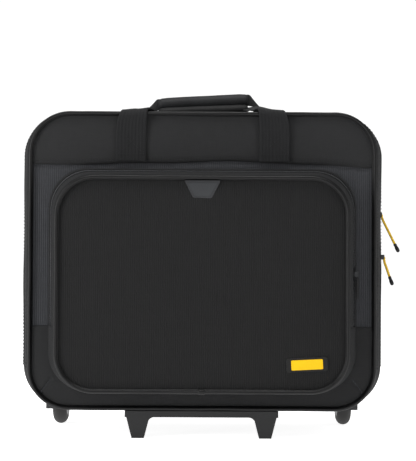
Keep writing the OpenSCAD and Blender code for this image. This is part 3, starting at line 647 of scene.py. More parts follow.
def wall_strip(name, node, y0, y1, inner, body, puff):
    wall_low = z_pan + 0.5 * MM

    def place(u, v):
        y = y0 + v * (y1 - y0)
        half = half_w + swell(y)
        x, z, nx, nz, s = arch(u, half, z_top, corner_r, wall_low)
        edge = min(v, 1 - v) * abs(y1 - y0)
        dent = rumple(x, y * 0.6, z, 1.3 * MM, 13.0) * min(1.0, edge / (6 * MM))
        lift = puff * (1 - math.exp(-edge / (5 * MM))) + dent
        lift -= groove(edge - 3.2 * MM, 0.35 * MM, 0.8 * MM)
        return Vector((x + nx * lift, y, z + nz * lift)), (s, y)

    shape = woven_sheet(240, max(10, int((y1 - y0) / (2.2 * MM))), place)
    if node == "rear_gusset":
        cup_low, cup_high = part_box("handle_cup")
        cut_away(shape, (cup_low[0] + 2.6 * MM, cup_low[1] + 1.6 * MM, z_top - 30 * MM),
                 (cup_high[0] - 2.6 * MM, cup_high[1] - 1.6 * MM, z_top + 20 * MM))
    piece = from_shape(name, shape, side_cloth_painted_shade)
    thicken(piece, inner)
    made_of(piece, body, "body_fabric", node)
    rows = []
    for y_line in (y0 + 3.2 * MM, y1 - 3.2 * MM):
        line = []
        for i in range(161):
            x, z, nx, nz, _ = arch(i / 160, half_w + swell(y_line), z_top, corner_r, wall_low)
            rise = 0.2 * MM + puff * (1 - math.exp(-3.2 / 5))
            line.append((Vector((x + nx * rise, y_line, z + nz * rise)), Vector((nx, 0, nz))))
        for part in range(0, 160, 4):
            rows.append(([p for p, _ in line[part:part + 5]], tuple(line[part + 2][1])))
    stitches(name + "_stitches", rows, body, pitch=4.2 * MM)


for name, node, body in (("rear_wall_cloth", "rear_gusset", "case_body"),
                         ("middle_wall_cloth", "middle_gusset", "middle_shell"),
                         ("front_wall_cloth", "front_gusset", "front_shell")):
    low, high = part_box(node)
    wall_strip(name, node, low[1], high[1], 3.4 * MM, body, 1.0 * MM)

# ---- Zips ----
# Each zip is two knitted tapes with a nylon coil on each meeting edge, sewn to the walls' folded edges.
# The body zips run over the top from side to side, and the pocket's zip runs over its arch.
tape_cloth = cloth_finish("zip_tape", (0.002, 0.002, 0.002), (0.012, 0.012, 0.013), 0.0007, rough=(0.75, 0.9))
# The coil's colour is set well above the other black parts: painted highlights on the coil's turns.
coil_nylon_painted_highlight = rubber_finish("coil_nylon_painted_highlight", (0.02, 0.02, 0.022), (0.1, 0.102, 0.108), 1200.0, 0.32)


tape_back = 0.1 * MM
tape_dip = 0.9 * MM
bite = Vector((0.62 * MM, 1.5 * MM, 0.95 * MM, 1.0))  # half sizes of one turn of the coil


def zip_half(node, body, y_edge, y_sewn, path, coil):
    """path(u, y) gives the place, the outward way and the length along the zip."""
    def place(u, v):
        y = y_sewn + v * (y_edge - y_sewn)
        spot, out, s = path(u, y)
        return spot - out * (tape_dip * v * (1 - v)), (s, y)

    shape = woven_sheet(200, 5, place, flip=y_edge < y_sewn)
    tape = from_shape(node + "_tape", shape, tape_cloth)
    thicken(tape, 1.2 * MM)
    made_of(tape, body, "zip_tape", node)

    shape = bmesh.new()
    length = path(1.0, y_edge)[2]
    toward = 1 if y_edge > y_sewn else -1
    for i in range(int(length / coil)):
        u = (i + (0.5 if toward > 0 else 0.0)) * coil / length
        spot, out, _ = path(u, y_edge)
        ahead = path(min(u + 0.002, 1.0), y_edge)[0] - path(max(u - 0.002, 0.0), y_edge)[0]
        ahead.normalize()
        turn = Matrix((ahead, Vector((0, 1, 0)), out)).transposed().to_4x4()
        at = spot + Vector((0, -toward * 1.1 * MM, 0)) + out * 0.35 * MM
        bmesh.ops.create_icosphere(shape, subdivisions=1, radius=1.0,
                                   matrix=Matrix.Translation(at) @ turn @ Matrix.Diagonal(bite))
    bmesh.ops.recalc_face_normals(shape, faces=shape.faces)
    coils = from_shape(node + "_coil", shape, coil_nylon_painted_highlight)
    made_of(coils, body, "zip_tape")


def body_zip_path(z_start):
    def path(u, y):
        x, z, nx, nz, s = arch(u, half_w + swell(y), z_top, corner_r, z_start)
        out = Vector((nx, 0, nz))
        return Vector((x, y, z)) - out * 1.1 * MM, out, s
    return path


def whole_zip(name, bodies, path, sewn, coil=2.1 * MM):
    """Both halves, each reaching over its wall's edge by sewn. path takes the height of the zip's ends."""
    low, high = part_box(name + "_back")
    zip_half(name + "_back", bodies[0], low[1] + tape_back, high[1] + sewn, path(low[2]), coil)
    low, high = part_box(name + "_front")
    zip_half(name + "_front", bodies[1], high[1] - tape_back, low[1] - sewn, path(low[2]), coil)


whole_zip("rear_zip", ("case_body", "middle_shell"), body_zip_path, 1.2 * MM)
whole_zip("front_zip", ("middle_shell", "front_shell"), body_zip_path, 1.2 * MM)

# ---- Bellows ----
# Below the ends of each zip a strip of cloth joins the walls. It is folded inwards, deepest at the top.


def bellows(name, node, fold):
    low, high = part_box(node)
    y0, y1 = high[1] + 1.5 * MM, low[1] - 1.5 * MM
    shape = None
    for side in (-1, 1):
        def place(u, v, side=side):
            z = low[2] + u * (high[2] - low[2])
            y = y0 + v * (y1 - y0)
            tuck = (1 - abs(2 * v - 1)) ** 0.8
            deep = (2 * MM + fold * u) * tuck
            x = half_w + swell(y) - 1.6 * MM - deep + 0.5 * MM * math.sin(3 * math.tau * v) * u
            return Vector((side * x, y, z)), (z, v * (12 * MM + 2 * fold * u))
        half = woven_sheet(44, 16, place, flip=side < 0)
        if shape is None:
            shape = half
        else:
            mesh = bpy.data.meshes.new("half")
            half.to_mesh(mesh)
            half.free()
            shape.from_mesh(mesh)
            bpy.data.meshes.remove(mesh)
    piece = from_shape(name, shape, side_cloth_painted_shade)
    thicken(piece, 0.9 * MM, 0.0)
    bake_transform(piece)
    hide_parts(node)


bellows("rear_bellows_cloth", "rear_bellows", 26 * MM)
bellows("front_bellows_cloth", "front_bellows", 22 * MM)

# ---- Front panel ----
# A padded panel in ribbed cloth, with plain cloth sewn over it: a yoke across the top, a piece in each
# lower corner with a mitred seam, and a strip along the bottom. Every seam is folded under and topstitched.
# This ribbed cloth is much lighter than the same cloth on the pocket's face: painted light falling on the
# panel's sides.
ribbed_cloth_painted_light = cloth_finish("ribbed_cloth_painted_light", (0.008, 0.008, 0.009), (0.064, 0.067, 0.074), 0.0008, rib=0.0026,
                            rib_depth=0.16)
plain_cloth = cloth_finish("plain_cloth", (0.004, 0.004, 0.004), (0.03, 0.0305, 0.032), 0.0008)
yoke_z = 338 * MM
corner_z = 137 * MM


def panel_surface(x, z, lift=0.0):
    """The front panel's outer surface: sunk towards the piping, softly dented."""
    gap = edge_gap(x, z, half_w, z_low, z_top, corner_r)
    puffed = 1.6 * MM * (1 - math.exp(-gap / (14 * MM))) - 1.4 * MM
    return y_front - puffed - lift - rumple(x, 0.9, z, 1.1 * MM, 10.0)


def yoke_edge(x):
    wander = 1.2 * MM * math.sin(x * 22 + 0.6) + 0.7 * MM * math.sin(x * 51)
    return yoke_z + wander - 5.0 * MM * (x / half_w) ** 2


def front_place(u, v):
    x, z = round_panel(u, v, half_w - 0.5 * MM, z_low + 0.5 * MM, z_top - 0.5 * MM, corner_r)
    sunk = groove(z - yoke_edge(x) + 1.0 * MM, 3.0 * MM, 2.0 * MM)
    if abs(x) > 150 * MM:
        sunk += groove(z - corner_z, 1.6 * MM, 1.6 * MM)
    sunk *= min(1.0, max(edge_gap(x, z, half_w, z_low, z_top, corner_r) - 3 * MM, 0.0) / (9 * MM))
    return Vector((x, panel_surface(x, z) + sunk, z)), (x, z)


front = from_shape("front_panel_cloth", woven_sheet(150, 150, front_place), ribbed_cloth_painted_light)
thicken(front, 4.2 * MM)
made_of(front, "front_shell", "ribbed_fabric", "front_panel")


def overlay(name, place_xz, along, across, lift=1.6 * MM, flip=False):
    """A plain panel sewn on top, whose free edges roll under."""
    def place(u, v):
        x, z, free = place_xz(u, v)
        roll = 2.4 * MM * math.exp(-max(free, 0.0) / (1.2 * MM))
        row = groove(free - 4.0 * MM, 0.45 * MM, 0.9 * MM)
        return Vector((x, panel_surface(x, z, lift) + roll + row, z)), (x, z)
    piece = from_shape(name, woven_sheet(along, across, place, flip), plain_cloth)
    thicken(piece, 1.0 * MM)
    made_of(piece, "front_shell", "body_fabric")


def rim_reach(z, inset=0.8 * MM):
    """Half the panel's width at a height."""
    r, half = corner_r, half_w - inset
    if z > z_top - r:
        return half - r + math.sqrt(max(r * r - (z - z_top + r) ** 2, 0.0))
    if z < z_low + r:
        return half - r + math.sqrt(max(r * r - (z_low + r - z) ** 2, 0.0))
    return half


def yoke_place(u, v):
    top = z_top - 0.8 * MM
    a = math.sin(v * math.pi / 2)
    z = yoke_z + a * (top - yoke_z)
    x = (2 * u - 1) * rim_reach(z)
    z += (yoke_edge(x) - yoke_z) * (1 - a)
    return x, z, z - yoke_edge(x)


overlay("front_yoke", yoke_place, 150, 46)
yoke_line = [Vector((x / 100 * (half_w - 5 * MM), 0, 0)) for x in range(-100, 101, 2)]
yoke_rows = []
for off in (3.6 * MM, 5.8 * MM):
    points = []
    for p in yoke_line:
        z = yoke_edge(p.x) + off
        points.append(Vector((p.x, panel_surface(p.x, z, 1.3 * MM), z)))
    yoke_rows.append((points, (0, -1, 0)))
stitches("front_yoke_stitches", yoke_rows, "front_shell")

pocket_low, pocket_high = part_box("pocket_piping")
base_low, base_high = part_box("pocket_base")
mitre_in = Vector((base_high[0] - 4 * MM, z_low + 38 * MM))
mitre_out = Vector((half_w - 12 * MM, z_low + 17 * MM))


def mitre_z(x):
    """Height of the mitred seam between a corner piece and the bottom strip."""
    t = (abs(x) - mitre_in.x) / (mitre_out.x - mitre_in.x)
    return mitre_in.y + (mitre_out.y - mitre_in.y) * t


for side in (-1, 1):
    def corner_place(u, v, side=side):
        inner, low_z = base_high[0] - 16 * MM, z_low + 10 * MM
        z = low_z + v * (corner_z - low_z)
        for _ in range(8):
            x = inner + u * (rim_reach(z) - inner)
            floor_z = min(max(mitre_z(x), low_z), z_low + 34 * MM)
            z = (z + floor_z + v * (corner_z - floor_z)) / 2
        x = inner + u * (rim_reach(z) - inner)
        return side * x, z, min(corner_z - z, max(z - mitre_z(x), 0.0) if x > mitre_in.x else 1.0)
    overlay("front_corner_" + ("left" if side < 0 else "right"), corner_place, 18, 56, flip=side < 0)


def strip_place(u, v):
    low_z = z_low + 1.0 * MM
    z = low_z + math.sin(v * math.pi / 2) * 24 * MM
    x = (2 * u - 1) * rim_reach(z)
    top_z = min(mitre_z(x), z_low + 37 * MM)
    z = low_z + math.sin(v * math.pi / 2) * (max(top_z, low_z + 4 * MM) - low_z)
    x = (2 * u - 1) * rim_reach(z)
    free = 1.0 if abs(x) < mitre_in.x - 2 * MM else max(mitre_z(x) - z, 0.0)
    return x, z, free


overlay("front_bottom_strip", strip_place, 150, 14, lift=1.0 * MM)

# ---- Pocket's body on the front panel ----
# The pocket's lower walls and the strip behind its zip, in plain cloth, sewn flat to the front panel.
face_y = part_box("pocket_cover")[0][1]
pocket_z0, pocket_z1 = pocket_low[2], pocket_high[2]
pocket_half = pocket_high[0]
pocket_r = 48 * MM
pocket_deep = y_front - face_y
pan_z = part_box("pocket_zip_back")[0][2]
zip_lo, zip_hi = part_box("pocket_zip_front")[0][1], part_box("pocket_zip_back")[1][1]
pocket_flare = base_high[0] - pocket_half + 0.4 * MM


def pocket_grow(y):
    return pocket_flare * (y - face_y) / pocket_deep


def pocket_arch(u, y, low=pan_z):
    grow = pocket_grow(y)
    x, z, nx, nz, s = arch(u, pocket_half + grow, pocket_z1 + grow, pocket_r, low)
    return Vector((x, y, z)), Vector((nx, 0, nz)), s


def pocket_strip(name, y0, y1, body, nodes, rows):
    def place(u, v):
        y = y0 + v * (y1 - y0)
        spot, out, s = pocket_arch(u, y)
        edge = min(v, 1 - v) * abs(y1 - y0)
        dent = rumple(spot.x, y, spot.z, 0.8 * MM, 16.0) * min(1, edge / (4 * MM))
        lift = 0.5 * MM * (1 - math.exp(-edge / (2 * MM))) + dent
        return spot + out * lift, (y, s)
    piece = from_shape(name, woven_sheet(220, rows, place), side_cloth_painted_shade)
    thicken(piece, 1.8 * MM)
    made_of(piece, body, "body_fabric", *nodes)


pocket_strip("pocket_back_strip", zip_hi - 0.6 * MM, y_front - 0.2 * MM, "front_shell", ("pocket_base",), 6)
pocket_strip("pocket_front_strip", face_y + 0.6 * MM, zip_lo + 0.6 * MM, "pocket_flap", (), 10)


def pocket_pan_place(u, v):
    y = face_y + 0.8 * MM + v * (pocket_deep - 1.0 * MM)
    grow = pocket_grow(y)
    x, z, nx, nz, s = arch(u, pocket_half + grow, 1 - pocket_z0, pocket_r, 1 - pan_z)
    z, nz = 1 - z, -nz
    dent = rumple(x, y, z, 1.0 * MM, 14.0) * min(1.0, 4 * v * (1 - v)) + 0.6 * MM * math.sin(v * math.pi)
    return Vector((x + nx * dent, y, z + nz * dent)), (y, s)


pocket_pan = from_shape("pocket_lower_walls", woven_sheet(180, 16, pocket_pan_place, flip=True), side_cloth_painted_shade)
thicken(pocket_pan, 1.8 * MM)
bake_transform(pocket_pan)


def pocket_zip_path(z_start):
    def path(u, y):
        spot, out, s = pocket_arch(u, y, pan_z + 0.4 * MM)
        return spot - out * 0.8 * MM, out, s
    return path


whole_zip("pocket_zip", ("front_shell", "pocket_flap"), pocket_zip_path, 0.6 * MM, 1.9 * MM)

# ---- Pocket's face ----
# One padded panel of ribbed cloth over 4 mm foam, filled out by simulation so that it crowns softly
# between its edges, with a piping cord all round.


def settle(piece, voxel, pressure, cap, held):
    """Fills a padded piece out as cloth under pressure. held(co) says which places are sewn down."""
    graph = bpy.context.evaluated_depsgraph_get()
    mesh = bpy.data.meshes.new_from_object(piece.evaluated_get(graph))
    piece.modifiers.clear()
    piece.data = mesh
    for other in bpy.context.selected_objects:
        other.select_set(False)
    bpy.context.view_layer.objects.active = piece
    piece.select_set(True)
    mesh.remesh_voxel_size = voxel
    bpy.ops.object.voxel_remesh()
    mesh = piece.data
    before = [v.co.copy() for v in mesh.vertices]
    sewn = piece.vertex_groups.new(name="sewn")
    for v in mesh.vertices:
        weight = held(v.co)
        if weight > 0:
            sewn.add([v.index], weight, "REPLACE")
    cloth = piece.modifiers.new("filling", "CLOTH")
    cloth.settings.quality = 5
    cloth.settings.mass = 0.3
    cloth.settings.vertex_group_mass = "sewn"
    cloth.settings.use_pressure = True
    cloth.settings.uniform_pressure_force = pressure
    cloth.settings.effector_weights.gravity = 0.0
    cloth.settings.tension_stiffness = 12
    cloth.settings.compression_stiffness = 12
    cloth.settings.bending_stiffness = 0.8
    for step in range(1, 21):
        scene.frame_set(step)
    graph = bpy.context.evaluated_depsgraph_get()
    filled = [v.co.copy() for v in piece.evaluated_get(graph).data.vertices]
    piece.modifiers.remove(cloth)
    scene.frame_set(1)
    for v, old, new in zip(mesh.vertices, before, filled):
        move = new - old
        if move.length > cap:
            move *= cap / move.length
        v.co = old + move
    for face in mesh.polygons:
        face.use_smooth = True
    smooth = piece.modifiers.new("smooth", "SUBSURF")
    smooth.levels = smooth.render_levels = 1


def pocket_gap(x, z):
    return edge_gap(x, z, pocket_half, pocket_z0, pocket_z1, pocket_r)


def face_place(u, v):
    inset = 2.2 * MM
    x, z = round_panel(u, v, pocket_half - inset, pocket_z0 + inset, pocket_z1 - inset, pocket_r - inset)
    gap = pocket_gap(x, z)
    crown = 2.6 * MM * (1 - math.exp(-gap / (22 * MM)))
    dent = rumple(x, 0.2, z, 1.6 * MM, 7.0) * min(1, gap / (20 * MM))
    return Vector((x, face_y - crown + 0.8 * MM - dent, z)), (x, z)


# The same ribbed cloth as the front panel, in a far darker colour: painted shade on the pocket's face.
ribbed_face_painted_shade = cloth_finish("ribbed_face_painted_shade", (0.001, 0.001, 0.001), (0.0135, 0.0135, 0.014), 0.0008,
                           coords="Object", rib=0.0026, rib_depth=0.14, sheen=0.05)
face = from_shape("pocket_face", woven_sheet(90, 70, face_place), ribbed_face_painted_shade)
thicken(face, 5.0 * MM)
settle(face, 4.5 * MM, 3.0, 4.0 * MM, lambda co: 1.0 if pocket_gap(co.x, co.z) < 6 * MM else 0.0)
made_of(face, "pocket_flap", "ribbed_fabric", "pocket_cover")
pocket_cord_y = (pocket_low[1] + pocket_high[1]) / 2
cord_in = 2.5 * MM
piping_loop("pocket_piping_cord", pocket_half - cord_in, pocket_z0 + cord_in, pocket_z1 - cord_in,
            pocket_r - cord_in, pocket_cord_y, 1, "pocket_flap", False, "pocket_piping")

# The folded tab where the cord's ends meet, under the pocket
shape = bmesh.new()
bmesh.ops.create_cube(shape, size=1.0, matrix=Matrix.Translation((0, pocket_cord_y, pocket_z0 + 2.6 * MM))
                      @ Matrix.Diagonal((9 * MM, 6.2 * MM, 6.2 * MM, 1)))
bmesh.ops.bevel(shape, geom=shape.verts[:] + shape.edges[:], offset=2.0 * MM, offset_type="OFFSET",
                segments=4, profile=0.5, affect="EDGES", material=-1)
tab = from_shape("pocket_piping_tab", shape, piping_cloth)
made_of(tab, "pocket_flap", "piping")

# ---- Patch and name tag ----
# A plain rubber patch welded on under the pocket's top edge, blank; and a yellow plate in a black frame,
# low on the right, also blank.
patch_rubber = rubber_finish("patch_rubber", (0.014, 0.0145, 0.016), (0.038, 0.039, 0.042), 1400.0, 0.5)
tag_black = rubber_finish("tag_black", (0.003, 0.003, 0.003), (0.01, 0.01, 0.01), 1300.0, 0.45)
tag_yellow = rubber_finish("tag_yellow", (0.6, 0.34, 0.0002), (0.84, 0.5, 0.0002), 1300.0, 0.5)
patch_low, patch_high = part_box("pocket_patch")


def face_out(x, z, lift):
    """Just proud of the pocket's face, found by casting onto it."""
    return face_tree.ray_cast(Vector((x, -0.3, z)), Vector((0, 1, 0)))[0].y - lift


bpy.context.view_layer.update()
face_tree = BVHTree.FromObject(face, bpy.context.evaluated_depsgraph_get())


def badge(name, outline, thick, lift, finish, slot_name, nodes, round_by):
    """A thin moulded plate with rounded edges, lying against the pocket's face."""
    shape = bmesh.new()
    corners = [shape.verts.new((x, 0.0, z)) for x, z in outline]
    shape.faces.new(corners)
    bmesh.ops.recalc_face_normals(shape, faces=shape.faces)
    if shape.faces[:][0].normal.y > 0:
        bmesh.ops.reverse_faces(shape, faces=shape.faces)
    out = bmesh.ops.extrude_face_region(shape, geom=shape.faces[:])
    top = [g for g in out["geom"] if isinstance(g, bmesh.types.BMVert)]
    bmesh.ops.translate(shape, verts=top, vec=(0, -thick, 0))
    bmesh.ops.recalc_face_normals(shape, faces=shape.faces)
    upright = [e for e in shape.edges if abs(e.verts[0].co.y - e.verts[1].co.y) > thick / 2]
    bmesh.ops.bevel(shape, geom=upright, offset=round_by, offset_type="OFFSET", segments=5, profile=0.5,
                    affect="EDGES", material=-1)
    rim = [e for e in shape.edges if all(v.co.y < -thick * 0.9 for v in e.verts)]
    bmesh.ops.bevel(shape, geom=rim, offset=min(thick * 0.35, 0.4 * MM), offset_type="OFFSET", segments=3,
                    profile=0.5, affect="EDGES", material=-1)
    cx = sum(p[0] for p in outline) / len(outline)
    cz = sum(p[1] for p in outline) / len(outline)
    back_y = face_out(cx, cz, 0.0) + 0.4 * MM
    bmesh.ops.translate(shape, verts=shape.verts, vec=(0, back_y - lift, 0))
    piece = from_shape(name, shape, finish, smooth=False)
    made_of(piece, "pocket_flap", slot_name, *nodes)


patch_half = (patch_high[0] - patch_low[0]) / 2
patch_outline = [(-patch_half, patch_high[2]), (patch_half, patch_high[2]), (patch_half / 2, patch_low[2]),
                 (-patch_half / 2, patch_low[2])]
badge("pocket_blank_patch", patch_outline, 1.2 * MM, 0.0, patch_rubber, "patch_rubber", ("pocket_patch",),
      2.0 * MM)
inner_patch = [(x * 0.82, patch_low[2] + 3 * MM + (z - patch_low[2]) * 0.74) for x, z in patch_outline]
panel_rubber = rubber_finish("patch_panel_rubber", (0.018, 0.019, 0.02), (0.04, 0.042, 0.046), 1400.0, 0.6)
badge("pocket_patch_panel", inner_patch, 0.6 * MM, 1.0 * MM, panel_rubber, "patch_rubber", (), 1.4 * MM)


def tilted_box(node, wide, tall):
    """Corners of the tag, whose right end sits a little higher."""
    low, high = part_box(node)
    cx, cz = (low[0] + high[0]) / 2, (low[2] + high[2]) / 2
    w, h = wide / 2, tall / 2
    c, s = math.cos(tag_tilt), math.sin(tag_tilt)
    return [(cx + x * c - z * s, cz + x * s + z * c) for x, z in ((-w, h), (w, h), (w, -h), (-w, -h))]


tag_tilt = math.radians(3)
badge("tag_frame", tilted_box("tag_base", 50 * MM, 17 * MM), 1.6 * MM, 0.0, tag_black, "tag_black",
      ("tag_base",), 3.0 * MM)
badge("tag_blank_plate", tilted_box("tag_plate", 38 * MM, 12 * MM), 1.4 * MM, 1.3 * MM, tag_yellow,
      "tag_yellow", ("tag_plate",), 1.2 * MM)

# ---- Straps and carry handles ----
# Each handle is one length of 37 mm black webbing that is sewn down the panel, passes over the piping and
# folds in to a grip. The front grip is slim; the rear one is padded and wrapped in smooth coated cloth.
webbing_cloth = cloth_finish("webbing_cloth", (0.002, 0.002, 0.002), (0.017, 0.0175, 0.019), 0.0016,
                             rib=0.0042, rib_depth=0.06, sheen=0.05)


def between(points, t):
    """A smooth way through a list of equal rows of numbers, at t from 0 to 1."""
    last = len(points) - 1
    at = min(max(t, 0.0), 1.0) * last
    i = min(int(at), last - 1)
    f = at - i
    p0, p1, p2, p3 = (points[min(max(i + k, 0), last)] for k in (-1, 0, 1, 2))
    return [0.5 * (2 * b + (c - a) * f + (2 * a - 5 * b + 4 * c - d) * f * f
                   + (3 * b - a - 3 * c + d) * f ** 3)
            for a, b, c, d in zip(p0, p1, p2, p3)]


def ribbon(name, rows, side, along, thick, finish, cup=0.0, across=10):
    """Webbing along rows of (x, y, z, across x, across y, across z, width), mirrored by side."""
    def spot(t):
        x, y, z, ax, ay, az, wide = between(rows, t)
        return Vector((side * x, y, z)), Vector((side * ax, ay, az)).normalized(), wide
    lengths = [0.0]
    for i in range(along):
        lengths.append(lengths[-1] + (spot((i + 1) / along)[0] - spot(i / along)[0]).length)

    def place(u, v):
        centre, way, wide = spot(u)
        ahead = (spot(min(u + 0.01, 1))[0] - spot(max(u - 0.01, 0))[0]).normalized()
        out = ahead.cross(way).normalized() * side
        off = 2 * v - 1
        edge = centre + way * off * wide / 2 - out * cup * off * off
        dent = rumple(edge.x, edge.y, edge.z, 0.5 * MM, 25.0)
        return edge + out * dent, (v * 37 * MM, lengths[round(u * along)])

    piece = from_shape(name, woven_sheet(along, across, place, flip=side < 0), finish)
    thicken(piece, thick, 0.0)
    edge = piece.modifiers.new("soft_edge", "BEVEL")
    edge.width = 0.5 * MM
    edge.segments = 2
    edge.limit_method = "ANGLE"
    edge.angle_limit = math.radians(50)
    return piece


strap_low, strap_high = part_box("front_straps")
web_w = 37 * MM
strap_x = strap_high[0] - web_w / 2
grip_low, grip_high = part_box("front_loop_grip")
fy, fz = (grip_low[1] + grip_high[1]) / 2, (grip_low[2] + grip_high[2]) / 2 + 1.0 * MM
rgrip_low, rgrip_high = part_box("rear_loop_grip")
ry, rz = (rgrip_low[1] + rgrip_high[1]) / 2, (rgrip_low[2] + rgrip_high[2]) / 2 + 2.0 * MM
grip_tilt = math.radians(3.2)


def tilt_z(x):
    return x * math.tan(grip_tilt)


for side in (-1, 1):
    word = "left" if side < 0 else "right"
    dz = side * tilt_z(54 * MM) * 0.8
    rows = [(strap_x, -75.6 * MM, strap_low[2], 1, 0, 0, web_w),
            (strap_x, -75.9 * MM, z_top - 46 * MM, 1, 0, 0, web_w),
            (strap_x, -76.2 * MM, z_top - 28 * MM, 1, 0, 0, web_w),
            (strap_x - 0.8 * MM, -77.5 * MM, z_top - 12 * MM, 1, 0, 0, web_w * 0.97),
            (strap_x - 2.4 * MM, -79.2 * MM, z_top - 3 * MM, 1, 0.05, 0.0, web_w * 0.92),
            (strap_x - 4.2 * MM, -77.0 * MM, z_top + 2.2 * MM, 1, 0.12, -0.03, web_w * 0.88),
            (strap_x - 7 * MM, -70 * MM, z_top + 4.4 * MM, 0.95, 0.32, -0.05, web_w * 0.84),
            (strap_x - 15 * MM, -54 * MM, z_top + 5.6 * MM, 0.82, 0.55, 0.1, web_w * 0.76),
            (strap_x - 24 * MM, -36 * MM, z_top + 7.0 * MM + dz, 0.58, 0.72, 0.25, web_w * 0.62),
            (58 * MM, -18 * MM, z_top + 7.8 * MM + dz, 0.3, 0.85, 0.35, web_w * 0.44),
            (50 * MM, fy, fz + dz, 0.1, 0.95, 0.25, 9.5 * MM)]
    strap = ribbon("front_strap_" + word, rows, side, 90, 1.7 * MM, webbing_cloth, 0.5 * MM)
    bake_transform(strap)
    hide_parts(*(("front_straps", "front_loop_webbing") if side > 0 else ()))

    dz = side * tilt_z(56 * MM)
    flat = ((y_back + 1.6 * MM, strap_low[2]), (y_back + 1.8 * MM, z_top - 42 * MM),
            (y_back + 2.2 * MM, z_top - 20 * MM), (y_back + 5.0 * MM, z_top - 7 * MM),
            (y_back + 5.2 * MM, z_top + 1 * MM), (y_back - 1 * MM, z_top + 4.4 * MM),
            (y_back - 12 * MM, z_top + 2.6 * MM), (y_back - 26 * MM, z_top + 2.4 * MM),
            (53 * MM, z_top + 3.6 * MM))
    rows = [*((strap_x, y, z, 1, 0, 0, web_w) for y, z in flat),
            (strap_x - 4 * MM, 44 * MM, z_top + 6.5 * MM, 0.98, 0.1, -0.05, web_w * 0.94),
            (strap_x - 9 * MM, 30 * MM, z_top + 11.0 * MM, 0.86, -0.25, -0.4, web_w * 0.84),
            (strap_x - 15 * MM, 17 * MM, z_top + 15.0 * MM + dz * 0.6, 0.68, -0.35, -0.64, web_w * 0.72),
            (63 * MM, 9 * MM, rz - 0.5 * MM + dz, 0.4, -0.4, -0.82, web_w * 0.54),
            (50 * MM, ry, rz + dz, 0.05, -0.3, -0.95, 13 * MM)]
    strap = ribbon("rear_strap_" + word, rows, side, 110, 1.7 * MM, webbing_cloth, 0.4 * MM)
    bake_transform(strap)
    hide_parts(*(("rear_straps", "rear_loop_webbing") if side > 0 else ()))

    # Box and cross of stitches that holds each strap down
    box_half, box_low, box_high = 15.5 * MM, z_top - 51 * MM, z_top - 21 * MM
    for where, y, lean, facing, body in (
            ("front", -77.2 * MM, -0.2 * MM, -1, "front_shell"),
            ("rear", y_back + 2.9 * MM, 0.0, 1, "case_body")):
        a, b, c, d = (Vector((side * strap_x + x, y + (lean if z == box_high else 0.0), z))
                      for x, z in ((-box_half, box_low), (box_half, box_low),
                                   (box_half, box_high), (-box_half, box_high)))
        rows = [([p, q], (0, facing, 0)) for p, q in ((a, b), (b, c), (c, d), (d, a), (a, c), (b, d))]
        stitches(where + "_strap_cross_" + word, rows, body, "webbing", pitch=2.6 * MM, size=0.4 * MM)


def grip(name, y, z, half, radius, tilt, flat, finish, body, node, roll):
    """A wrapped grip: a padded tube with tucked ends, a lengthwise seam below and slow dents."""
    def place(u, v):
        x = (2 * u - 1) * half
        end = 1 - abs(2 * u - 1)
        tuck = 1 - 0.42 * math.exp(-end * half / (2.2 * MM)) - groove(end * half - 7 * MM, 0.06, 1.2 * MM)
        a = v * math.tau
        seam = groove(v - 0.75, 0.09, 0.025)
        r = radius * tuck * (1 - seam + 0.03 * noise.noise(Vector((x * 45, math.cos(a), math.sin(a) + roll))))
        spot = Vector((x, y + r * math.cos(a), z + tilt_z(x) * tilt + flat * r * math.sin(a)))
        return spot, (x, v * math.tau * radius)
    shape = woven_sheet(90, 40, place)
    close_up(shape, 0.00001)
    piece = from_shape(name, shape, finish)
    made_of(piece, body, "grip_leather", node)
    return piece


grip_wrap = coated_finish("grip_wrap", (0.003, 0.0032, 0.0035), (0.014, 0.0145, 0.016), 0.62, 60.0)
# The rear grip's coated cloth made several times darker for the front grip: painted shade under the rear
# grip.
slim_wrap_painted_shade = coated_finish("slim_wrap_painted_shade", (0.0005, 0.0005, 0.0005), (0.002, 0.002, 0.0022), 0.65, 60.0)
padded_grip = grip("rear_grip_wrap", ry, rz, (rgrip_high[0] - rgrip_low[0]) / 2,
                   (rgrip_high[2] - rgrip_low[2]) / 2 - 0.6 * MM, 1.0, 0.94,
                   grip_wrap, "rear_handle", "rear_loop_grip", 0.0)
settle(padded_grip, 2.6 * MM, 4.0, 1.0 * MM, lambda co: 1.0 if abs(co.x) > rgrip_high[0] - 5 * MM else 0.0)
slim_grip = grip("front_grip_wrap", fy, fz, (grip_high[0] - grip_low[0]) / 2 + 3 * MM,
                 (grip_high[2] - grip_low[2]) / 2 + 1.6 * MM, 0.8, 1.0,
                 slim_wrap_painted_shade, "front_handle", "front_loop_grip", 5.0)
for name, y, z, half, tilt, body in (("rear_grip", ry, rz - 9.0 * MM, 54 * MM, 1.0, "rear_handle"),
                                     ("front_grip", fy, fz - 6.4 * MM, 48 * MM, 0.8, "front_handle")):
    rows = []
    for off in (-1.6 * MM, 1.6 * MM):
        xs = [i * half / 20 for i in range(-20, 21)]
        rows.append(([Vector((x, y + off, z + tilt_z(x) * tilt)) for x in xs], (0, 0, -1)))
    stitches(name + "_stitches", rows, body, "grip_leather", pitch=3.4 * MM)

# ---- Inside the case ----
# A grey lining behind the rear compartment, a padded divider, and a padded sleeve for the laptop whose
# mouth is bound in webbing. The stiff fibre board lies on the bottom, screwed down with the stand.
lining_cloth = cloth_finish("lining_cloth", (0.06, 0.061, 0.065), (0.15, 0.152, 0.158), 0.0006,
                            rough=(0.5, 0.7))
sleeve_cloth = cloth_finish("sleeve_cloth", (0.08, 0.082, 0.087), (0.2, 0.202, 0.21), 0.0007,
                            rough=(0.6, 0.8))
lining_low, lining_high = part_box("trolley_lining")


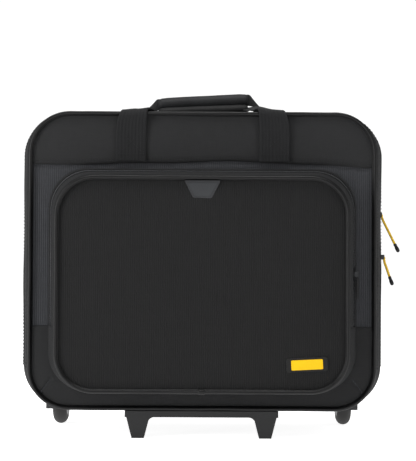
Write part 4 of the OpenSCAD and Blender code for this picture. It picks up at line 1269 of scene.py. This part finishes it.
def lining_place(u, v):
    z = lining_low[2] + v * (lining_high[2] - lining_low[2])
    x = lining_low[0] + u * (lining_high[0] - lining_low[0])
    tube_mark = groove(abs(x) - tube_x, 1.2 * MM, 14 * MM)
    y = lining_low[1] + 0.4 * MM + rumple(x, 1.5, z, 1.4 * MM, 12.0) - tube_mark
    return Vector((x, y, z)), (x, z)


lining = from_shape("trolley_lining_cloth", woven_sheet(110, 70, lining_place), lining_cloth)
thicken(lining, 1.0 * MM)
made_of(lining, "case_body", "lining", "trolley_lining")

divider_low, divider_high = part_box("divider_panel")
divider_half = divider_high[0]


def divider_place(u, v):
    z = divider_low[2] + v * (divider_high[2] - divider_low[2])
    reach = divider_half
    if z > divider_high[2] - corner_r:
        r = corner_r
        reach = divider_half - r + math.sqrt(max(r * r - (z - divider_high[2] + r) ** 2, 0.0))
    if z < z_pan + 1.0 * MM:
        reach = half_w - corner_r - 1 * MM
    x = (2 * u - 1) * reach
    quilt = 0.7 * MM * abs(math.sin(math.pi * x / (64 * MM)) * math.sin(math.pi * z / (64 * MM))) ** 0.5
    return Vector((x, divider_low[1] + 0.9 * MM - quilt, z)), (x, z)


divider = from_shape("divider_padding", woven_sheet(120, 100, divider_place), lining_cloth)
thicken(divider, 3.0 * MM)
made_of(divider, "middle_shell", "lining", "divider_panel")

sleeve_low, sleeve_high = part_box("laptop_sleeve")
sleeve_half, sleeve_deep = sleeve_high[0], sleeve_high[1] - sleeve_low[1]


def sleeve_way(t):
    """Round the sleeve from its left seam, along its front, to its right seam."""
    corner = 9 * MM
    straight, run = sleeve_deep - corner, 2 * (sleeve_half - corner)
    turn = math.pi * corner / 2
    s = t * (2 * straight + 2 * turn + run)
    y0, y1 = sleeve_low[1], sleeve_high[1]
    if s < straight:
        return -sleeve_half, y1 - s, s
    if s < straight + turn:
        a = (s - straight) / corner
        return -sleeve_half + corner - corner * math.cos(a), y0 + corner - corner * math.sin(a), s
    if s < straight + turn + run:
        return -sleeve_half + corner + s - straight - turn, y0, s
    if s < straight + 2 * turn + run:
        a = (s - straight - turn - run) / corner
        return sleeve_half - corner + corner * math.sin(a), y0 + corner - corner * math.cos(a), s
    return sleeve_half, y0 + corner + s - straight - 2 * turn - run, s


def sleeve_place(u, v):
    x, y, s = sleeve_way(u)
    z = sleeve_low[2] + v * (sleeve_high[2] - sleeve_low[2])
    if z < z_pan + 4 * MM:
        x = max(min(x, half_w - corner_r - 1 * MM), -half_w + corner_r + 1 * MM)
    full = 1.4 * MM * math.sin(math.pi * min(v * 6, 1.0) / 2) * math.sin(math.pi * u)
    mouth = 1.6 * MM * math.exp(-((1 - v) * 250 * MM / (9 * MM)) ** 2)
    y += 0.6 * MM - full + rumple(x, y, z, 0.8 * MM, 12.0) + mouth * 0.5
    return Vector((x, min(y, sleeve_high[1]), z)), (s, z)


sleeve = from_shape("laptop_sleeve_padding", woven_sheet(150, 60, sleeve_place), sleeve_cloth)
thicken(sleeve, 3.2 * MM)
made_of(sleeve, "middle_shell", "sleeve", "laptop_sleeve")


def binding_place(u, v):
    x, y, s = sleeve_way(0.02 + u * 0.96)
    a = v * math.pi
    z = sleeve_high[2] - 10 * MM + 10.8 * MM * math.sin(a) ** 0.5
    return Vector((x, y + 1.6 * MM - 2.9 * MM * math.cos(a), z)), (s, v * 20 * MM)


binding = from_shape("sleeve_binding", woven_sheet(150, 12, binding_place), webbing_cloth)
thicken(binding, 0.8 * MM, 0.0)
made_of(binding, "middle_shell", "webbing")

# ---- Hard parts ----
# The moulded, drawn and turned parts keep their own shapes: board, stand, housings, wheels, axles, screws,
# the handle's cup, tubes, collars and grip, the button with its rods, spring and pins, and the sliders.


def moulded_finish(name, dark, light, rough, texture=700.0, depth=0.00012, sheen=0.0):
    """Spark-eroded plastic: a fine even grain, faint flow marks and some scuffing."""
    mat, nodes, links, shader = finish_nodes(name)
    place = nodes.new("ShaderNodeTexCoord").outputs["Object"]
    grain = lay_texture("ShaderNodeTexVoronoi", texture, place)
    flowed = turned(place, scale=(12, 30, 60))
    flow = lay_texture("ShaderNodeTexNoise", 1.0, flowed, Detail=4.0)
    rubbed = turned(place, (0, 30, 20), (60, 900, 60))
    scuff = lay_texture("ShaderNodeTexNoise", 1.0, rubbed, Detail=5.0)
    scuffs = mixed("GREATER_THAN", scuff.outputs["Fac"], 0.72)
    tone = mixed("ADD", mixed("MULTIPLY", flow.outputs["Fac"], 0.7),
                 mixed("MULTIPLY", grain.outputs["Distance"], 0.35))
    tone = mixed("ADD", tone, mixed("MULTIPLY", scuffs, 0.15))
    links.new(tinted(tone, dark, light), shader.inputs["Base Color"])
    uneven = ranged(flow.outputs["Fac"], rough - 0.07, rough + 0.1)
    links.new(uneven, shader.inputs["Roughness"])
    raised(grain.outputs["Distance"], depth, shader, 0.5)
    shader.inputs["Specular IOR Level"].default_value = 0.32
    if sheen:
        shader.inputs["Coat Weight"].default_value = sheen
        shader.inputs["Coat Roughness"].default_value = 0.25
    return mat


def metal_finish(name, dark, light, rough, lines=(300, 300, 4)):
    """Metal with the fine lines that drawing or turning leaves."""
    mat, nodes, links, shader = finish_nodes(name)
    shader.inputs["Metallic"].default_value = 1.0
    place = nodes.new("ShaderNodeTexCoord").outputs["Object"]
    lined = turned(place, scale=lines)
    drawn = lay_texture("ShaderNodeTexNoise", 1.0, lined, Detail=6.0)
    stain = lay_texture("ShaderNodeTexNoise", 22.0, place, Detail=4.0)
    tone = mixed("ADD", drawn.outputs["Fac"], stain.outputs["Fac"])
    tone = mixed("MULTIPLY", tone, 0.5)
    links.new(tinted(tone, dark, light), shader.inputs["Base Color"])
    uneven = ranged(drawn.outputs["Fac"], rough - 0.08, rough + 0.12)
    links.new(uneven, shader.inputs["Roughness"])
    raised(drawn.outputs["Fac"], 0.00005, shader, 0.3)
    return mat


def board_finish():
    mat, nodes, links, shader = finish_nodes("fibre_board")
    place = nodes.new("ShaderNodeTexCoord").outputs["Object"]
    pressed = turned(place, (0, 0, 20), (900, 120, 300))
    fibre = lay_texture("ShaderNodeTexNoise", 1.0, pressed, Detail=6.0)
    fleck = lay_texture("ShaderNodeTexVoronoi", 260.0, place)
    tone = mixed("ADD", mixed("MULTIPLY", fibre.outputs["Fac"], 0.7),
                 mixed("MULTIPLY", fleck.outputs["Distance"], 0.4))
    brown = tinted(tone, (0.02, 0.02, 0.02), (0.07, 0.068, 0.065))
    links.new(brown, shader.inputs["Base Color"])
    shader.inputs["Roughness"].default_value = 0.85
    raised(fibre.outputs["Fac"], 0.0003, shader, 0.6)
    return mat


def tread_finish():
    mat, nodes, links, shader = finish_nodes("wheel_rubber")
    place = nodes.new("ShaderNodeTexCoord").outputs["Object"]
    dust = lay_texture("ShaderNodeTexNoise", 60.0, place, Detail=6.0)
    grain = lay_texture("ShaderNodeTexNoise", 1400.0, place, Detail=2.0)
    dusty = tinted(dust.outputs["Fac"], (0.004, 0.004, 0.004), (0.024, 0.023, 0.022))
    links.new(dusty, shader.inputs["Base Color"])
    links.new(ranged(dust.outputs["Fac"], 0.55, 0.85), shader.inputs["Roughness"])
    raised(grain.outputs["Fac"], 0.0002, shader, 0.6)
    return mat


black_moulding = moulded_finish("black_moulding", (0.014, 0.014, 0.015), (0.045, 0.046, 0.048), 0.5)
stand_moulding = moulded_finish("stand_moulding", (0.004, 0.004, 0.004), (0.017, 0.0175, 0.0185), 0.55)
cup_moulding = moulded_finish("cup_moulding", (0.01, 0.01, 0.011), (0.03, 0.031, 0.033), 0.55)
grip_moulding = moulded_finish("grip_moulding", (0.009, 0.009, 0.01), (0.026, 0.027, 0.028), 0.38,
                               1100.0, 0.00006, 0.15)
button_moulding = moulded_finish("button_moulding", (0.03, 0.032, 0.034), (0.075, 0.078, 0.083), 0.34,
                                 1100.0, 0.00005, 0.2)
hub_moulding = moulded_finish("hub_moulding", (0.05, 0.052, 0.055), (0.12, 0.123, 0.13), 0.42)
tube_alloy = metal_finish("tube_alloy", (0.42, 0.43, 0.45), (0.72, 0.73, 0.75), 0.3)
turned_steel = metal_finish("turned_steel", (0.35, 0.355, 0.36), (0.6, 0.605, 0.61), 0.28, (60, 400, 400))
slider_metal = metal_finish("slider_metal", (0.02, 0.021, 0.022), (0.075, 0.077, 0.08), 0.38, (200, 200, 200))
fibre_board = board_finish()
wheel_rubber = tread_finish()

# The button's spring is wound wire that stands on the grip's floor.
spring_low, spring_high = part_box("button_spring")
wire_r = 0.45 * MM
spring_turns = 4
coil_r = (spring_high[0] - spring_low[0]) / 2 - wire_r
spring_y = (spring_low[1] + spring_high[1]) / 2


def spring_place(u, v):
    turn, side = u * spring_turns * math.tau, v * math.tau
    r = coil_r + wire_r * math.cos(side)
    z = spring_low[2] + wire_r + u * (spring_high[2] - spring_low[2] - 2 * wire_r)
    return Vector((r * math.cos(turn), spring_y + r * math.sin(turn), z + wire_r * math.sin(side))), (u, v)


coil = woven_sheet(192, 8, spring_place)
close_up(coil, 0.000001)
spring = from_shape("spring_wire", coil, turned_steel)
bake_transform(spring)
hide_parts("button_spring")

for finish, names in ((fibre_board, ("base_board",)), (stand_moulding, ("front_stand",)),
                      (black_moulding, ("wheel_housing_left", "wheel_housing_right", "tube_bracket",
                                        "middle_collars")),
                      (cup_moulding, ("handle_cup",)), (grip_moulding, ("grip_base", "grip_cover")),
                      (button_moulding, ("push_button",)),
                      (hub_moulding, ("wheel_hub_left", "wheel_hub_right")),
                      (wheel_rubber, ("wheel_tyre_left", "wheel_tyre_right")),
                      (tube_alloy, ("outer_tubes", "middle_tubes", "inner_tubes")),
                      (turned_steel, ("wheel_axles", "case_screws", "push_rods", "lock_pin_left",
                                      "lock_pin_right")),
                      (slider_metal, ("rear_slider", "front_slider", "pocket_slider")),
                      (pull_rubber, ("pocket_pull",))):
    for name in names:
        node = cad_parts[name]
        if not node.material_slots:
            node.data.materials.append(finish)
        for held in node.material_slots:
            held.material = finish
